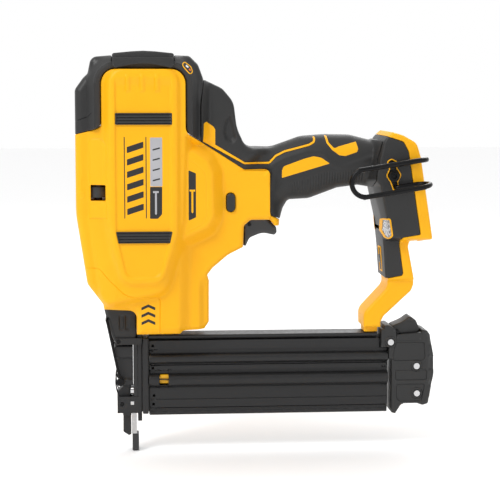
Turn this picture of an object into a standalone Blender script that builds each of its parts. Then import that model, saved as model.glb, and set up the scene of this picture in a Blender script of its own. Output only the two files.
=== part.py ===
"""Cordless 18-gauge brad nailer, built from its real pieces.

Sizes are in millimetres and become metres in the helpers. +X runs from the nose back to the battery
foot, +Z up along the drive axis, and -Y is the tool's left side. The origin is where the contact tip
meets the work, on the drive axis. Flat pieces are outlines of corners (across, up, radius).
"""

import math

import bmesh
import bpy
from mathutils import Matrix, Vector

MM = 0.001
GAP = 0.3  # clearance between pieces that touch
SPLIT = 0.15  # each half of the clamshell stops this far from the middle plane

# Driving dimensions
NOSE_BOTTOM = 12.0  # the contact tip stands this far below the nose
STROKE = 76.0
CHANNEL_TOP = NOSE_BOTTOM + STROKE  # the driver blade's tip at rest
HEAD_HALF = 32.5
BOSS_HALF = 40.5
REAR_HALF = 24.5
CAP_HALF = 31.0
HUMP_HALF = 25.5
GRIP_HALF = 17.5
CORE_HALF = 12.0
FOOT_HALF = 31.0
FOOT_CORE_HALF = 27.3
SHANK_HALF = 19.4
SHANK_CORE_HALF = 16.2
LEG_HALF = 16.5
WALL = 3.0
FOOT_TILT = math.radians(9.2)  # the battery foot leans forward from the vertical
MAGAZINE_FRONT = 10.3
MAGAZINE_REAR = 190.0
RAIL_TOP = 91.0
WHEEL_CENTRE = (31.8, 212.0)
WHEEL_RADIUS = 26.0
LATCH_PIVOT = (-13.0, 86.9)
BAIL_PIVOT = (-21.5, 104.0)
BAIL_HOOK = (-11.5, 55.5)
DOOR_PIVOT = (-10.5, 37.5)
TRIGGER_PIVOT = (88.0, 176.0)
PINCH_PIVOT = (-15.5, 180.0)
PINCH_ROLLER = (-10.6, 212.0)
SPRING_X = -8.0
SPRING_Y = 17.0
DEPTH_WHEEL = (-27.0, -22.2)
TRIP_SPRING = (-27.0, 17.0)
HOOK_CENTRE = (196.0, 213.5)
MAGAZINE_LATCH_PIVOT = (203.5, 91.5)

ARC_STEP = math.radians(30)


# ---------------------------------------------------------------- helpers
def clear_scene():
    for obj in list(bpy.data.objects):
        bpy.data.objects.remove(obj)


def collection(name):
    made = bpy.data.collections.new(name)
    bpy.context.scene.collection.children.link(made)
    return made


def material(name, colour, roughness, metallic=0.0):
    made = bpy.data.materials.new(name)
    made.use_nodes = True
    shader = made.node_tree.nodes["Principled BSDF"]
    shader.inputs["Base Color"].default_value = (*colour, 1.0)
    shader.inputs["Roughness"].default_value = roughness
    shader.inputs["Metallic"].default_value = metallic
    return made


def outline(corners, inset=0.0):
    """The points of a closed outline, moved inwards by inset. Rounded corners stay parallel to themselves."""
    area = sum(a[0] * b[1] - b[0] * a[1] for a, b in zip(corners, corners[1:] + corners[:1]))
    if area < 0:
        corners = corners[::-1]
    points = []
    for i, (x, z, radius) in enumerate(corners):
        here = Vector((x, z))
        before = Vector(corners[i - 1][:2]) - here
        after = Vector(corners[(i + 1) % len(corners)][:2]) - here
        coming, going = -before.normalized(), after.normalized()
        left, right = Vector((-coming.y, coming.x)), Vector((-going.y, going.x))
        turn = math.atan2(coming.cross(going), coming.dot(going))
        mitre = here + (left + right) * (inset / (1 + left.dot(right)))
        if radius <= 0 or abs(turn) < 0.02:
            points.append(tuple(mitre))
            continue
        slope = math.tan(abs(turn) / 2)
        reach = min(radius * slope, 0.49 * before.length, 0.49 * after.length)
        radius = reach / slope
        way = 1 if turn > 0 else -1
        centre = here - coming * reach + left * radius * way
        left_over = radius - inset * way
        steps = max(1, round(abs(turn) / ARC_STEP))
        for k in range(steps + 1):
            spoke = Matrix.Rotation(turn * k / steps, 2) @ -left * way
            points.append(tuple(centre + spoke * left_over) if left_over > 0 else tuple(mitre))
    return points


def link(obj, paint):
    PARTS.objects.link(obj)
    if paint:
        obj.data.materials.append(paint)
    return obj


def as_mesh(obj):
    """The mesh that a curve makes, with its caps welded on, in the curve's place."""
    bpy.context.view_layer.update()
    graph = bpy.context.evaluated_depsgraph_get()
    mesh = bpy.data.meshes.new_from_object(obj.evaluated_get(graph))
    shape = bmesh.new()
    shape.from_mesh(mesh)
    bmesh.ops.remove_doubles(shape, verts=shape.verts, dist=0.00001)
    bmesh.ops.recalc_face_normals(shape, faces=shape.faces)
    shape.to_mesh(mesh)
    shape.free()
    name = obj.name
    place = obj.matrix_world.copy()
    bpy.data.objects.remove(obj)
    made = bpy.data.objects.new(name, mesh)
    PARTS.objects.link(made)
    made.matrix_world = place
    return made


ALONG = {"X": (1, 2, 0), "Y": (0, 2, 1), "Z": (0, 1, 2)}


def prism(name, corners, low, high, paint=None, along="Y", edge=0.0):
    """An outline extruded along an axis from low to high, with its two rims rounded by edge.

    It is lofted through inset copies of the outline, because a curve's own bevel folds over itself at the
    sharp inner corners that these outlines have.
    """
    soft = 1 - math.sqrt(0.5)
    rim = [(0, edge), (edge * soft, edge * soft), (edge, 0)] if edge else [(0, 0)]
    levels = [(low + rise, taken) for rise, taken in rim]
    levels += [(high - rise, taken) for rise, taken in reversed(rim)]
    shape = bmesh.new()
    rings = []
    for level, taken in levels:
        ring = []
        for across, up in outline(corners, taken):
            place = [0, 0, 0]
            for axis, value in zip(ALONG[along], (across, up, level)):
                place[axis] = value * MM
            ring.append(shape.verts.new(place))
        rings.append(ring)
    for lower, upper in zip(rings, rings[1:]):
        for i in range(len(lower)):
            shape.faces.new((lower[i - 1], lower[i], upper[i], upper[i - 1]))
    shape.faces.new(rings[0])
    shape.faces.new(rings[-1])
    bmesh.ops.remove_doubles(shape, verts=shape.verts, dist=0.00001)
    bmesh.ops.recalc_face_normals(shape, faces=shape.faces)
    mesh = bpy.data.meshes.new(name)
    shape.to_mesh(mesh)
    shape.free()
    return link(bpy.data.objects.new(name, mesh), paint)


def box(name, x, y, z, paint=None, edge=0.0):
    """A block between the pairs x, y and z, with its edges bevelled by edge."""
    bpy.ops.mesh.primitive_cube_add(size=1)
    obj = take_active(name, paint)
    spans = [(b - a) * MM for a, b in (x, y, z)]
    obj.data.transform(Matrix.Diagonal((*spans, 1)))
    obj.location = [(a + b) / 2 * MM for a, b in (x, y, z)]
    if edge:
        bevel = obj.modifiers.new("edges", "BEVEL")
        bevel.width = edge * MM
        bevel.segments = 1
    return obj


def rod(name, start, end, radius, paint=None, sides=16):
    """A cylinder from one point to another."""
    start, end = Vector(start) * MM, Vector(end) * MM
    bpy.ops.mesh.primitive_cylinder_add(vertices=sides, radius=radius * MM, depth=(end - start).length)
    obj = take_active(name, paint)
    obj.rotation_mode = "QUATERNION"
    obj.rotation_quaternion = (end - start).to_track_quat("Z", "Y")
    obj.location = (start + end) / 2
    obj.data.shade_smooth()
    obj.data.set_sharp_from_angle(angle=math.radians(40))
    return obj


def turned(name, profile, place, axis, paint=None, sides=32):
    """A profile of (radius, height) turned about an axis that stands at a place."""
    mesh = bpy.data.meshes.new(name)
    points = [(r * MM, 0, h * MM) for r, h in profile]
    mesh.from_pydata(points, [(i, (i + 1) % len(points)) for i in range(len(points))], [])
    obj = link(bpy.data.objects.new(name, mesh), paint)
    screw = obj.modifiers.new("turn", "SCREW")
    screw.steps = screw.render_steps = sides
    screw.use_merge_vertices = True
    screw.merge_threshold = 0.00001
    obj.rotation_mode = "QUATERNION"
    obj.rotation_quaternion = Vector(axis).to_track_quat("Z", "Y")
    obj.location = Vector(place) * MM
    return obj


def tube(name, points, radius, paint=None, sides_level=2):
    """A round wire along points, with closed ends."""
    curve = bpy.data.curves.new(name, "CURVE")
    curve.dimensions = "3D"
    curve.bevel_depth = radius * MM
    curve.bevel_resolution = sides_level
    curve.use_fill_caps = True
    spline = curve.splines.new("POLY")
    spline.points.add(len(points) - 1)
    for point, place in zip(spline.points, points):
        point.co = (*(Vector(place) * MM), 1)
    return link(bpy.data.objects.new(name, curve), paint)


def take_active(name, paint):
    obj = bpy.context.active_object
    for holder in list(obj.users_collection):
        holder.objects.unlink(obj)
    obj.name = obj.data.name = name
    return link(obj, paint)


def combine(obj, operation, *others):
    """Boolean modifiers on obj. The others become helpers that don't render."""
    for other in others:
        step = obj.modifiers.new(operation.lower() + "_" + other.name, "BOOLEAN")
        step.operation = operation
        step.object = other
        if other.name not in CUTTERS.objects:
            PARTS.objects.unlink(other)
            CUTTERS.objects.link(other)
        other.hide_render = True
        other.display_type = "WIRE"
    return obj


def add(obj, *others):
    return combine(obj, "UNION", *others)


def cut(obj, *others):
    return combine(obj, "DIFFERENCE", *others)


def half_space(name, side):
    """A large block that holds everything on one side of the middle plane."""
    y = (-80, -SPLIT) if side < 0 else (SPLIT, 80)
    return box(name, (-80, 260), y, (-20, 340))


def keep_side(obj, side):
    return combine(obj, "INTERSECT", half_space(obj.name + "_side", side))


def foot_frame(u, v):
    """A point of the leaning foot: u across it towards the rear, v up along it, from the hook's screw."""
    across, up = math.cos(FOOT_TILT), math.sin(FOOT_TILT)
    return HOOK_CENTRE[0] + u * across - v * up, HOOK_CENTRE[1] + u * up + v * across


def sides():
    return (("left", -1), ("right", 1))


# ---------------------------------------------------------------- outlines of the casing
LOWER_HEAD = [
    (-43.7, 245.5, 0.5), (-44.1, 187, 60), (-36.2, 134, 8), (-24.0, 118.6, 2), (-23.5, 113.9, 0.8),
    (-17.5, 113.2, 3), (1.2, 112.2, 6), (1.2, 94.0, 0.8), (34, 94.2, 1),
]
TOP_OF_HEAD = [(38.5, 246.8, 8), (38.5, 293.8, 10), (-24, 293.8, 10), (-24, 250.8, 6), (-31, 248.5, 6)]
HEAD = LOWER_HEAD + [
    (36.5, 96, 1), (52.8, 96.8, 1.5), (56.4, 102.2, 1.5), (56.5, 133.8, 3), (55.1, 138.6, 2),
    (59, 143.8, 6), (70.8, 153.8, 20), (82.4, 159.6, 1), (83, 176, 3), (88, 180.3, 4), (103, 180.3, 10),
    (109.2, 176.6, 0.6), (109.9, 179.6, 1), (103.6, 183.3, 1.5), (102.5, 186, 2), (102.5, 218.5, 4),
    (83, 218.5, 3), (50, 239.6, 2),
] + TOP_OF_HEAD
HEAD_FRONT = LOWER_HEAD + [(40, 160, 6), (61, 170, 8), (61, 226, 8), (47, 239.6, 3)] + TOP_OF_HEAD
HEAD_BOSS = [
    (-23.5, 293.5, 12), (-24.5, 182, 30), (-9, 129.5, 14), (20.5, 129.5, 12), (37.5, 178, 30),
    (38, 293.5, 13),
]
HEAD_CAVITY = [
    (-40.5, 242, 1), (-41, 188, 40), (-33, 135, 6), (-21, 119.5, 1), (-19.5, 116.6, 1), (4.7, 116, 2),
    (4.7, 99, 1), (32, 99, 1), (37, 150, 4), (57, 173, 4), (57, 222, 4), (47, 236, 2),
    (35.5, 243.5, 4), (35.5, 290.5, 8), (-21, 290.5, 8), (-21, 247.5, 4),
]
BOSS_CAVITY = [(-18, 288, 8), (-19, 183, 20), (-6, 135, 8), (18, 135, 8), (32, 179, 20), (32.5, 288, 8)]
REAR_CAVITY = [
    (30, 99.5, 1), (50.5, 99.5, 1), (53.4, 103.8, 1), (53.4, 133, 2), (52, 139, 2), (70, 156.5, 8),
    (79, 162.5, 2), (80, 186, 2), (99.3, 186, 2), (99.3, 215.3, 2), (82, 215.3, 2), (47, 235.5, 2),
    (30, 235.5, 2),
]
HANDLE_CORE = [
    (98, 214, 1), (98, 200, 1), (112, 200, 4), (133, 200.5, 6), (152, 206.5, 6), (176, 209, 3),
    (196, 207, 1), (196, 232, 1), (178, 236, 5), (160, 239.5, 10), (134, 238.5, 10), (112, 231, 8),
    (104, 224, 3),
]
LEG = [
    (214.7, 134, 1), (215.4, 129.5, 8), (213.6, 124.2, 6), (191.9, 104.4, 6), (189.6, 99.8, 3),
    (189.5, 95.8, 0.5), (176.2, 95.8, 0.5), (176, 107.2, 10), (194.9, 127.2, 8), (194.4, 134, 1),
]
SHANK = [
    (214.4, 133.2, 0), (209.9, 158.4, 2), (211.4, 163.8, 0), (193.3, 163.8, 0), (193.5, 158, 0), (195.9, 136, 0),
    (196.3, 133.2, 0),
]
LEG_BORE = [
    (180, 86, 0), (186, 86, 0), (186, 104, 2), (207, 124, 6), (206, 172, 1), (198, 172, 1), (201, 132, 6),
    (180, 112, 6),
]
FOOT_TOP = [(191.2, 243.7, 1), (195.2, 246.8, 1), (203, 244.6, 12), (213.6, 238.6, 8)]
FOOT_REAR = [(216.9, 228, 10), (226.6, 165.8, 1.5), (225.6, 164.6, 1), (210.5, 162.6, 0)]
FOOT_BLOCK = [
    (191.1, 243.1, 1), (195.3, 246.4, 1), (202.9, 244.2, 12), (213.3, 238.3, 8), (216.5, 227.9, 10),
    (226.2, 166.1, 1.5), (225.3, 164.9, 1), (210.6, 162.9, 0), (191.5, 162.9, 0), (185.4, 203.5, 1),
    (186.4, 226, 3), (189, 239.4, 1),
]
FOOT_RIM = FOOT_TOP + FOOT_REAR + [(217.4, 168.6, 1), (207.6, 232, 6), (203.6, 239.6, 5)]
SHANK_RIM = [
    (214.7, 133.6, 0), (210.2, 158.5, 2), (212, 163.5, 0), (203, 163.5, 0), (203, 160, 2), (206.3, 138, 1),
    (206, 133.6, 0),
]
FOOT_SKIN = [
    (183.6, 212, 2), (184.4, 226, 6), (188.2, 240.6, 1), (191.4, 243.3, 1), (203.4, 239.3, 5),
    (207.3, 231.7, 6), (217.1, 168.9, 1), (203.2, 166.3, 2), (202.9, 163, 0), (190.1, 163, 1),
    (182.4, 203.8, 1),
]
SHANK_SKIN = [
    (190.5, 164, 0), (190.6, 158, 1), (193.2, 136.6, 1), (194.6, 134.2, 0.5), (205, 136.2, 1),
    (206, 138, 1), (202.7, 160, 2), (202.8, 164, 0),
]
VENTS = (("upper", 257.3, 0), ("lower", 169.3, 1.8))
VENT_GAP = 0.35
LENS_SEAT = [
    (187.2, 181.5, 1.5), (194.8, 182.2, 1.5), (198, 166, 2), (194.5, 164.4, 1.5), (189.2, 167.3, 1.5),
]
LENS = [
    (187.6, 181.1, 1.5), (194.5, 181.8, 1.5), (197.6, 166.3, 2), (194.4, 164.9, 1.5), (189.6, 167.6, 1.5),
]
WIRING_WAY = [
    (97, 206, 1), (186, 213, 1), (186, 228, 3), (150, 233, 6), (108, 222, 4), (97, 214, 1),
]
CAP_FRONT = [(-43.6, 246, 0.5), (-43.6, 279, 6), (-37.4, 287.3, 5), (-33.9, 290.7, 3), (-31.3, 303, 6)]
CAP_SEAT = [(-15.9, 304.2, 1), (-15.9, 299.6, 0.5), (30.3, 299.6, 0.5), (30.3, 304.2, 1)]
CAP_INSIDE = [(38.9, 247.2, 8), (38.9, 294.2, 10), (-24.4, 294.2, 10), (-24.4, 250.9, 6)]
CAP = CAP_FRONT + CAP_SEAT + [
    (41.8, 304, 4), (48.2, 297.6, 8), (52.3, 286.6, 1), (50.2, 268, 10), (50.2, 240.1, 0.5),
] + CAP_INSIDE + [(-31.2, 248.9, 6)]
CAP_BOSS = [(-33, 249, 2), (-33.5, 291, 4), (-30.2, 302.8, 6)] + CAP_SEAT + [
    (39.5, 303.8, 6), (46.8, 295.6, 8), (48, 243, 2),
] + CAP_INSIDE
# where the overmould stops against the yellow head
HEAD_MEETING = [
    (20, 259, 0), (83.1, 218.8, 3), (102.8, 218.8, 4), (102.8, 186, 2), (103.9, 183.6, 1.5),
    (103, 170, 0), (20, 170, 0),
]
HUMP = [
    (50.5, 239.8, 0.5), (50.5, 268, 10), (52.6, 286.4, 1), (66.6, 279.8, 12), (75.2, 269.6, 16),
    (77.7, 250, 30), (83.2, 237.5, 10), (92, 222, 6), (92, 218.8, 1), (83.1, 218.8, 3),
]
GRIP = [
    (72, 226.2, 1), (77, 240, 2), (83.2, 237.6, 6), (90, 235, 8), (105, 235, 20), (128, 243.2, 20),
    (146, 244.6, 30), (166, 244.2, 20), (181, 240.4, 8), (187.7, 240, 1), (184, 226, 6), (183.3, 212, 2),
    (182.1, 204.2, 1), (172, 205.6, 6), (156, 203.5, 12), (134, 195.4, 12), (118, 194.6, 4),
    (114, 188, 6), (110.5, 180.6, 1), (109, 181.9, 1), (103.9, 183.6, 1.5), (102.8, 186, 2),
    (102.8, 218.8, 4), (83.1, 218.8, 3),
]


# ---------------------------------------------------------------- casing
def vent_outline(z, slant, gap):
    """A vent opening at height z, its lower corners drawn in by slant, and widened all round by gap."""
    low, high = z - 4.3 - gap, z + 4.3 + gap
    front, rear = -13.6 - gap, 28.3 + gap
    return [(front + slant, low, 0.6), (front, high, 0.6), (rear, high, 0.6), (rear - slant, low, 0.6)]


def foot_pocket(name, half, floor, top, bottom):
    """A block let into the leaning foot from behind, down to its floor."""
    corners = [(*foot_frame(u, v), 0) for u, v in ((floor, bottom), (45, bottom), (45, top), (floor, top))]
    return prism(name, corners, -half, half)


def housing(label, side):
    """One half of the yellow clamshell: head, handle core, battery foot and leg in one moulding."""
    name = "housing_" + label
    shell = prism(name, HEAD, -REAR_HALF, REAR_HALF, NYLON, edge=2.0)
    add(
        shell,
        prism(name + "_front", HEAD_FRONT, -HEAD_HALF, HEAD_HALF, edge=2.6),
        prism(name + "_boss", HEAD_BOSS, -BOSS_HALF, BOSS_HALF, edge=4.5),
        prism(name + "_core", HANDLE_CORE, -CORE_HALF, CORE_HALF, edge=2.0),
        prism(name + "_foot", FOOT_BLOCK, -FOOT_CORE_HALF, FOOT_CORE_HALF),
        prism(name + "_rim", FOOT_RIM, -FOOT_HALF, FOOT_HALF),
        prism(name + "_shank", SHANK, -SHANK_CORE_HALF, SHANK_CORE_HALF),
        prism(name + "_shank_rim", SHANK_RIM, -SHANK_HALF, SHANK_HALF),
        prism(name + "_leg", LEG, -LEG_HALF, LEG_HALF),
        box(name + "_tongue", (177.6, 188), (-9, 9), (RAIL_TOP + GAP, 97)),
    )
    cut(
        shell,
        prism(name + "_cavity", HEAD_CAVITY, WALL - HEAD_HALF, HEAD_HALF - WALL),
        prism(name + "_boss_cavity", BOSS_CAVITY, WALL - BOSS_HALF, BOSS_HALF - WALL),
        prism(name + "_rear_cavity", REAR_CAVITY, WALL - REAR_HALF, REAR_HALF - WALL),
        prism(name + "_wiring", WIRING_WAY, -9, 9),
        box(name + "_trigger_slot", (81.5, 112), (-9.8, 9.8), (150, 188)),
        box(name + "_rail_slot", (-2, 60), (-13, 13), (80, 100)),
        box(name + "_nose_slot", (-30, 6), (-13, 13), (85, 118)),
        foot_pocket(name + "_dock", 24.5, 11, 19, -80),
        foot_pocket(name + "_electronics", 22, -5.5, 14, -38),
        prism(name + "_leg_bore", LEG_BORE, -7, 7),
    )
    for vent, z, slant in VENTS:
        corners = vent_outline(z, slant, VENT_GAP)
        low, high = (-60, -30) if side < 0 else (30, 60)
        cut(shell, prism(name + "_" + vent + "_vent", corners, low, high))
    pin_hole = [(69.2, 186.6, 3.5), (76.4, 186.6, 3.5), (76.4, 201.4, 3.5), (69.2, 201.4, 3.5)]
    cut(shell, prism(name + "_lock_hole", pin_hole, -40, 40))
    if side < 0:
        cut(shell, box(name + "_wheel_window", (-32.6, -21.2), (-50, -25), (196.4, 208.8)))
    return keep_side(shell, side)


def grip(label, side):
    """The soft black overmould: the hump behind the head and the handle's skin."""
    name = "grip_" + label
    skin = prism(name, GRIP, -GRIP_HALF, GRIP_HALF, RUBBER, edge=5.0)
    add(skin, prism(name + "_hump", HUMP, -HUMP_HALF, HUMP_HALF, edge=4.0))
    hump_room = [
        (53.5, 242, 1), (53.5, 266, 4), (56, 282.5, 2), (66, 277.5, 10), (73.5, 268, 12), (75, 246, 12),
        (75, 226, 2),
    ]
    core_room = [
        (70, 210, 1), (97.7, 213, 1), (98, 199.7, 1), (112, 199.7, 4), (133, 200.2, 6), (152, 206.2, 6),
        (176, 208.7, 3), (200, 206.7, 1), (200, 233, 1), (178, 236.3, 5), (160, 239.8, 10),
        (134, 238.8, 10), (112, 231.3, 8), (101, 224.6, 3), (86, 222.2, 3), (70, 222.2, 1),
    ]
    cut(
        skin,
        prism(name + "_hump_room", hump_room, 3 - HUMP_HALF, HUMP_HALF - 3),
        prism(name + "_core_room", core_room, -CORE_HALF - GAP, CORE_HALF + GAP),
        prism(name + "_head_room", HEAD_MEETING, -60, 60),
    )
    return keep_side(skin, side)


def foot_skin(label, side):
    """The black skin of the battery foot: its side panel, wrapped round the front edge."""
    name = "foot_panel_" + label
    skin = prism(name, FOOT_SKIN, -FOOT_HALF, FOOT_HALF, RUBBER)
    add(skin, prism(name + "_shank", SHANK_SKIN, -SHANK_HALF, SHANK_HALF))
    inner = [
        (186.1, 226, 3), (188.7, 239.6, 1), (190.8, 243.9, 1), (194.9, 247.1, 0), (240, 247.1, 0),
        (240, 162.3, 0), (191.2, 162.3, 0), (185.1, 203.5, 1),
    ]
    shank = [
        (240, 170, 0), (240, 125, 0), (194.6, 125, 0), (195.6, 134.5, 1), (193.2, 158, 1), (192.5, 170, 0),
    ]
    cut(
        skin,
        prism(name + "_core", inner, -FOOT_CORE_HALF - GAP, FOOT_CORE_HALF + GAP),
        prism(name + "_shank_core", shank, -SHANK_CORE_HALF - GAP, SHANK_CORE_HALF + GAP),
        box(name + "_handle_room", (170, 192), (-CORE_HALF - GAP, CORE_HALF + GAP), (206, 236)),
    )
    lens_y = (-40, -28.2) if side < 0 else (28.2, 40)
    cut(skin, prism(name + "_lens_seat", LENS_SEAT, *lens_y))
    selector = [(*foot_frame(u, v), 0) for u, v in ((-22, -72), (-6, -72), (-6, -56), (-22, -56))]
    cut(skin, prism(name + "_selector_slot", selector, -4.4, 4.4))
    if side < 0:
        x, z = HOOK_CENTRE
        cut(skin, rod(name + "_screw_hole", (x, -40, z), (x, -20, z), 2.5))
    return keep_side(skin, side)


def casing():
    for label, side in sides():
        housing(label, side)
        grip(label, side)
        foot_skin(label, side)
        y = (side * 34, side * 41.2)
        for vent, z, slant in VENTS:
            corners = vent_outline(z, slant, 0)
            prism(vent + "_vent_" + label, corners, min(y), max(y), HARD_BLACK, edge=0.5)
        y = (side * 28.5, side * 31.6)
        prism("work_light_" + label, LENS, min(y), max(y), CLEAR, edge=0.4)
    cap = prism("top_cap", CAP, -CAP_HALF, CAP_HALF, HARD_BLACK, edge=2.4)
    add(cap, prism("cap_boss", CAP_BOSS, -37.5, 37.5, edge=2.4))
    front = [(-40.5, 240, 0), (-40.5, 277, 4), (-34, 284, 3), (-27.5, 284, 1), (-27.5, 240, 0)]
    rear = [(42, 230, 0), (42, 291, 2), (45.6, 291, 3), (47, 230, 0)]
    cut(cap, prism("cap_front_room", front, -28, 28), prism("cap_rear_room", rear, -28, 28))
    bumper = [(-15.6, 299.9, 0.5), (-15.6, 305.6, 1.5), (7.4, 308, 90), (30, 305.6, 1.5), (30, 299.9, 0.5)]
    prism("top_bumper", bumper, -38.5, 38.5, RUBBER, edge=1.5)


# ---------------------------------------------------------------- drive inside the head
def spring_sides():
    return [(label, side * SPRING_Y) for label, side in sides()]


def drive():
    wheel_x, wheel_z = WHEEL_CENTRE
    plate = [
        (-2, 289.8, 3), (8, 289.8, 4), (20, 242, 10), (44, 232, 14), (54, 214, 10), (54, 186, 16),
        (24, 176, 10), (12, 118, 3), (-2, 118, 3),
    ]
    frame = prism("drive_frame", plate, -14.5, 28.5, ALUMINIUM)
    add(
        frame,
        box("frame_foot", (-12.5, 4), (-22, 22), (118, 122)),
        box("frame_head", (-12.5, 4), (-22, 22), (283, 289.8)),
    )
    cut(
        frame,
        box("frame_room", (-1, 80), (-11.5, 25.5), (122, 283)),
        box("frame_front_room", (-20, 3), (-40, 25.5), (122.1, 282.9)),
        rod("frame_bearing_bore", (wheel_x, -30, wheel_z), (wheel_x, 40, wheel_z), 8.0, sides=24),
        box("frame_driver_slot", (-3, 3), (-9.6, 3), (100, 130)),
        *[rod("frame_rod_hole_" + label, (SPRING_X, y, 110), (SPRING_X, y, 300), 2.4)
          for label, y in spring_sides()],
    )
    rim = WHEEL_RADIUS
    profile = [
        (4.0, 9.5), (rim - 2, 9.5), (rim, 8), (rim, 5), (rim - 1.5, 4), (rim, 3), (rim, -3),
        (rim - 1.5, -4), (rim, -5), (rim, -8), (rim - 3, -9.5), (rim - 3, -23), (rim - 6, -23),
        (rim - 6, 5.5), (4.0, 5.5),
    ]
    centre = (wheel_x, 0, wheel_z)
    flywheel = turned("flywheel", profile, centre, (0, -1, 0), STEEL, sides=28)
    flywheel.data.shade_smooth()
    rod("motor_shaft", (wheel_x, -14, wheel_z), (wheel_x, 28, wheel_z), 3.7, STEEL)
    stator = [(8, 4), (19, 4), (19, -18), (8, -18)]
    turned("motor_stator", stator, centre, (0, -1, 0), COPPER, sides=24)
    for label, y in (("left", -14.3), ("right", 25.7)):
        ring = [(4.0, 0), (7.6, 0), (7.6, 2.6), (4.0, 2.6)]
        turned("bearing_" + label, ring[::-1], (wheel_x, y, wheel_z), (0, 1, 0), STEEL, sides=20)
    blade = box("driver", (-0.6, 0.6), (-1.2, 1.2), (CHANNEL_TOP, 210), STEEL)
    add(
        blade,
        box("driver_body", (-3.8, 5.2), (-5, 5), (206, 262), edge=1.0),
        box("driver_cross", (-3.8, -2.4), (-23, 23), (244, 253)),
        box("driver_ear_left", (-12.5, -2.4), (-23, -10.5), (244, 253), edge=1.0),
        box("driver_ear_right", (-12.5, -2.4), (10.5, 23), (244, 253), edge=1.0),
    )
    cut(blade, *[rod("driver_rod_hole_" + label, (SPRING_X, y, 235), (SPRING_X, y, 265), 2.6)
                 for label, y in spring_sides()])
    for label, y in spring_sides():
        rod("return_rod_" + label, (SPRING_X, y, 118), (SPRING_X, y, 289.5), 2.0, STEEL, 12)
        coil = helix((SPRING_X, y), 4.2, 123.2, 242.8, 11, 9)
        tube("return_spring_" + label, coil, 0.8, STEEL, 1)
    buffer = box("driver_bumper", (-6, 6), (-6.2, 6.2), (122.3, 128.8), RUBBER, edge=1.0)
    cut(buffer, box("bumper_slot", (-1.4, 1.4), (-2.4, 2.4), (90, 140)))
    box("solenoid", (-38, -19.5), (-10, 10), (202, 232), STEEL, edge=1.5)
    arm = [
        (-18.6, 177, 3), (-12.6, 177, 3), (-12, 196, 4), (-7.6, 209, 3), (-7.6, 215, 3), (-13.6, 215, 3),
        (-17.4, 200, 6),
    ]
    pinch = prism("pinch_arm", arm, -7.8, 7.8, STEEL)
    cut(
        pinch,
        box("pinch_gap", (-30, 10), (-5.3, 5.3), (202, 230)),
        rod("pinch_bore", (PINCH_PIVOT[0], -20, PINCH_PIVOT[1]), (PINCH_PIVOT[0], 20, PINCH_PIVOT[1]), 1.6),
    )
    x, z = PINCH_ROLLER
    rod("pinch_roller", (x, -5, z), (x, 5, z), 5.6, STEEL, 24)


def helix(centre, radius, low, high, turns, points_a_turn):
    count = turns * points_a_turn
    points = []
    for k in range(count + 1):
        angle = 2 * math.pi * k / points_a_turn
        points.append((centre[0] + radius * math.cos(angle), centre[1] + radius * math.sin(angle),
                       low + (high - low) * k / count))
    return points


# ---------------------------------------------------------------- trigger, switches, depth wheel
def controls():
    lever = [
        (83.4, 159.6, 1), (85.4, 159, 1), (88.2, 165.4, 5), (98, 169.4, 12), (107.5, 167.4, 2),
        (109.3, 169.5, 1.5), (109, 173.5, 3), (101, 181.5, 3), (88, 183, 5), (83.4, 178, 3),
    ]
    trigger = prism("trigger", lever, -9.2, 9.2, HARD_BLACK, edge=0.7)
    x, z = TRIGGER_PIVOT
    cut(trigger, rod("trigger_bore", (x, -20, z), (x, 20, z), 1.8))
    rod("trigger_pin", (x, -11.5, z), (x, 11.5, z), 1.5, STEEL, 12)
    box("trigger_switch", (88, 98.5), (-7, 7), (190.5, 208), HARD_BLACK, edge=1.0)
    lock = [(69.6, 187, 3.1), (76, 187, 3.1), (76, 201, 3.1), (69.6, 201, 3.1)]
    prism("lock_off_pin", lock, -26.5, 26.5, HARD_BLACK, edge=0.8)
    for half, _ in sides():
        cut(bpy.data.objects["housing_" + half],
            rod("housing_" + half + "_pin_bore", (x, -11.8, z), (x, 11.8, z), 1.8))
    wheel_profile = [(3.7, 208.4), (6.0, 208.4), (6.0, 206.4), (9.0, 206.4), (9.0, 198.6), (3.7, 198.6)]
    turned("depth_wheel", wheel_profile, (*DEPTH_WHEEL, 0), (0, 0, 1), HARD_BLACK, sides=28)
    corners = [(*foot_frame(u, v), 1.2) for u, v in ((-16.1, -68), (-13.2, -68), (-13.2, -61), (-16.1, -61))]
    prism("mode_selector", corners, -3.6, 3.6, HARD_BLACK, edge=0.6)


# ---------------------------------------------------------------- nose, latch, contact trip
NOSE_GUIDE = [
    (-9.6, 33.8, 1), (-9.6, 15, 1), (-5.2, NOSE_BOTTOM, 0.8), (-3.5, NOSE_BOTTOM + 1, 0.5), (-3.5, 33.8, 1),
]
DOOR_WING = [(-1.7, 82.9, 1), (-16.6, 82.9, 1.5), (-12.4, 60, 4), (-10.5, 52, 1), (-1.7, 52, 1)]
LATCH_PAD = [
    (-23.8, 112.6, 0.8), (-22.2, 113.4, 0.8), (-17, 109.4, 3), (-4.8, 106.8, 4), (-1.7, 104.2, 3),
    (-1.7, 84.9, 1.5), (-13, 83.9, 3), (-16.6, 87.5, 2), (-20.4, 99, 4),
]


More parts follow.
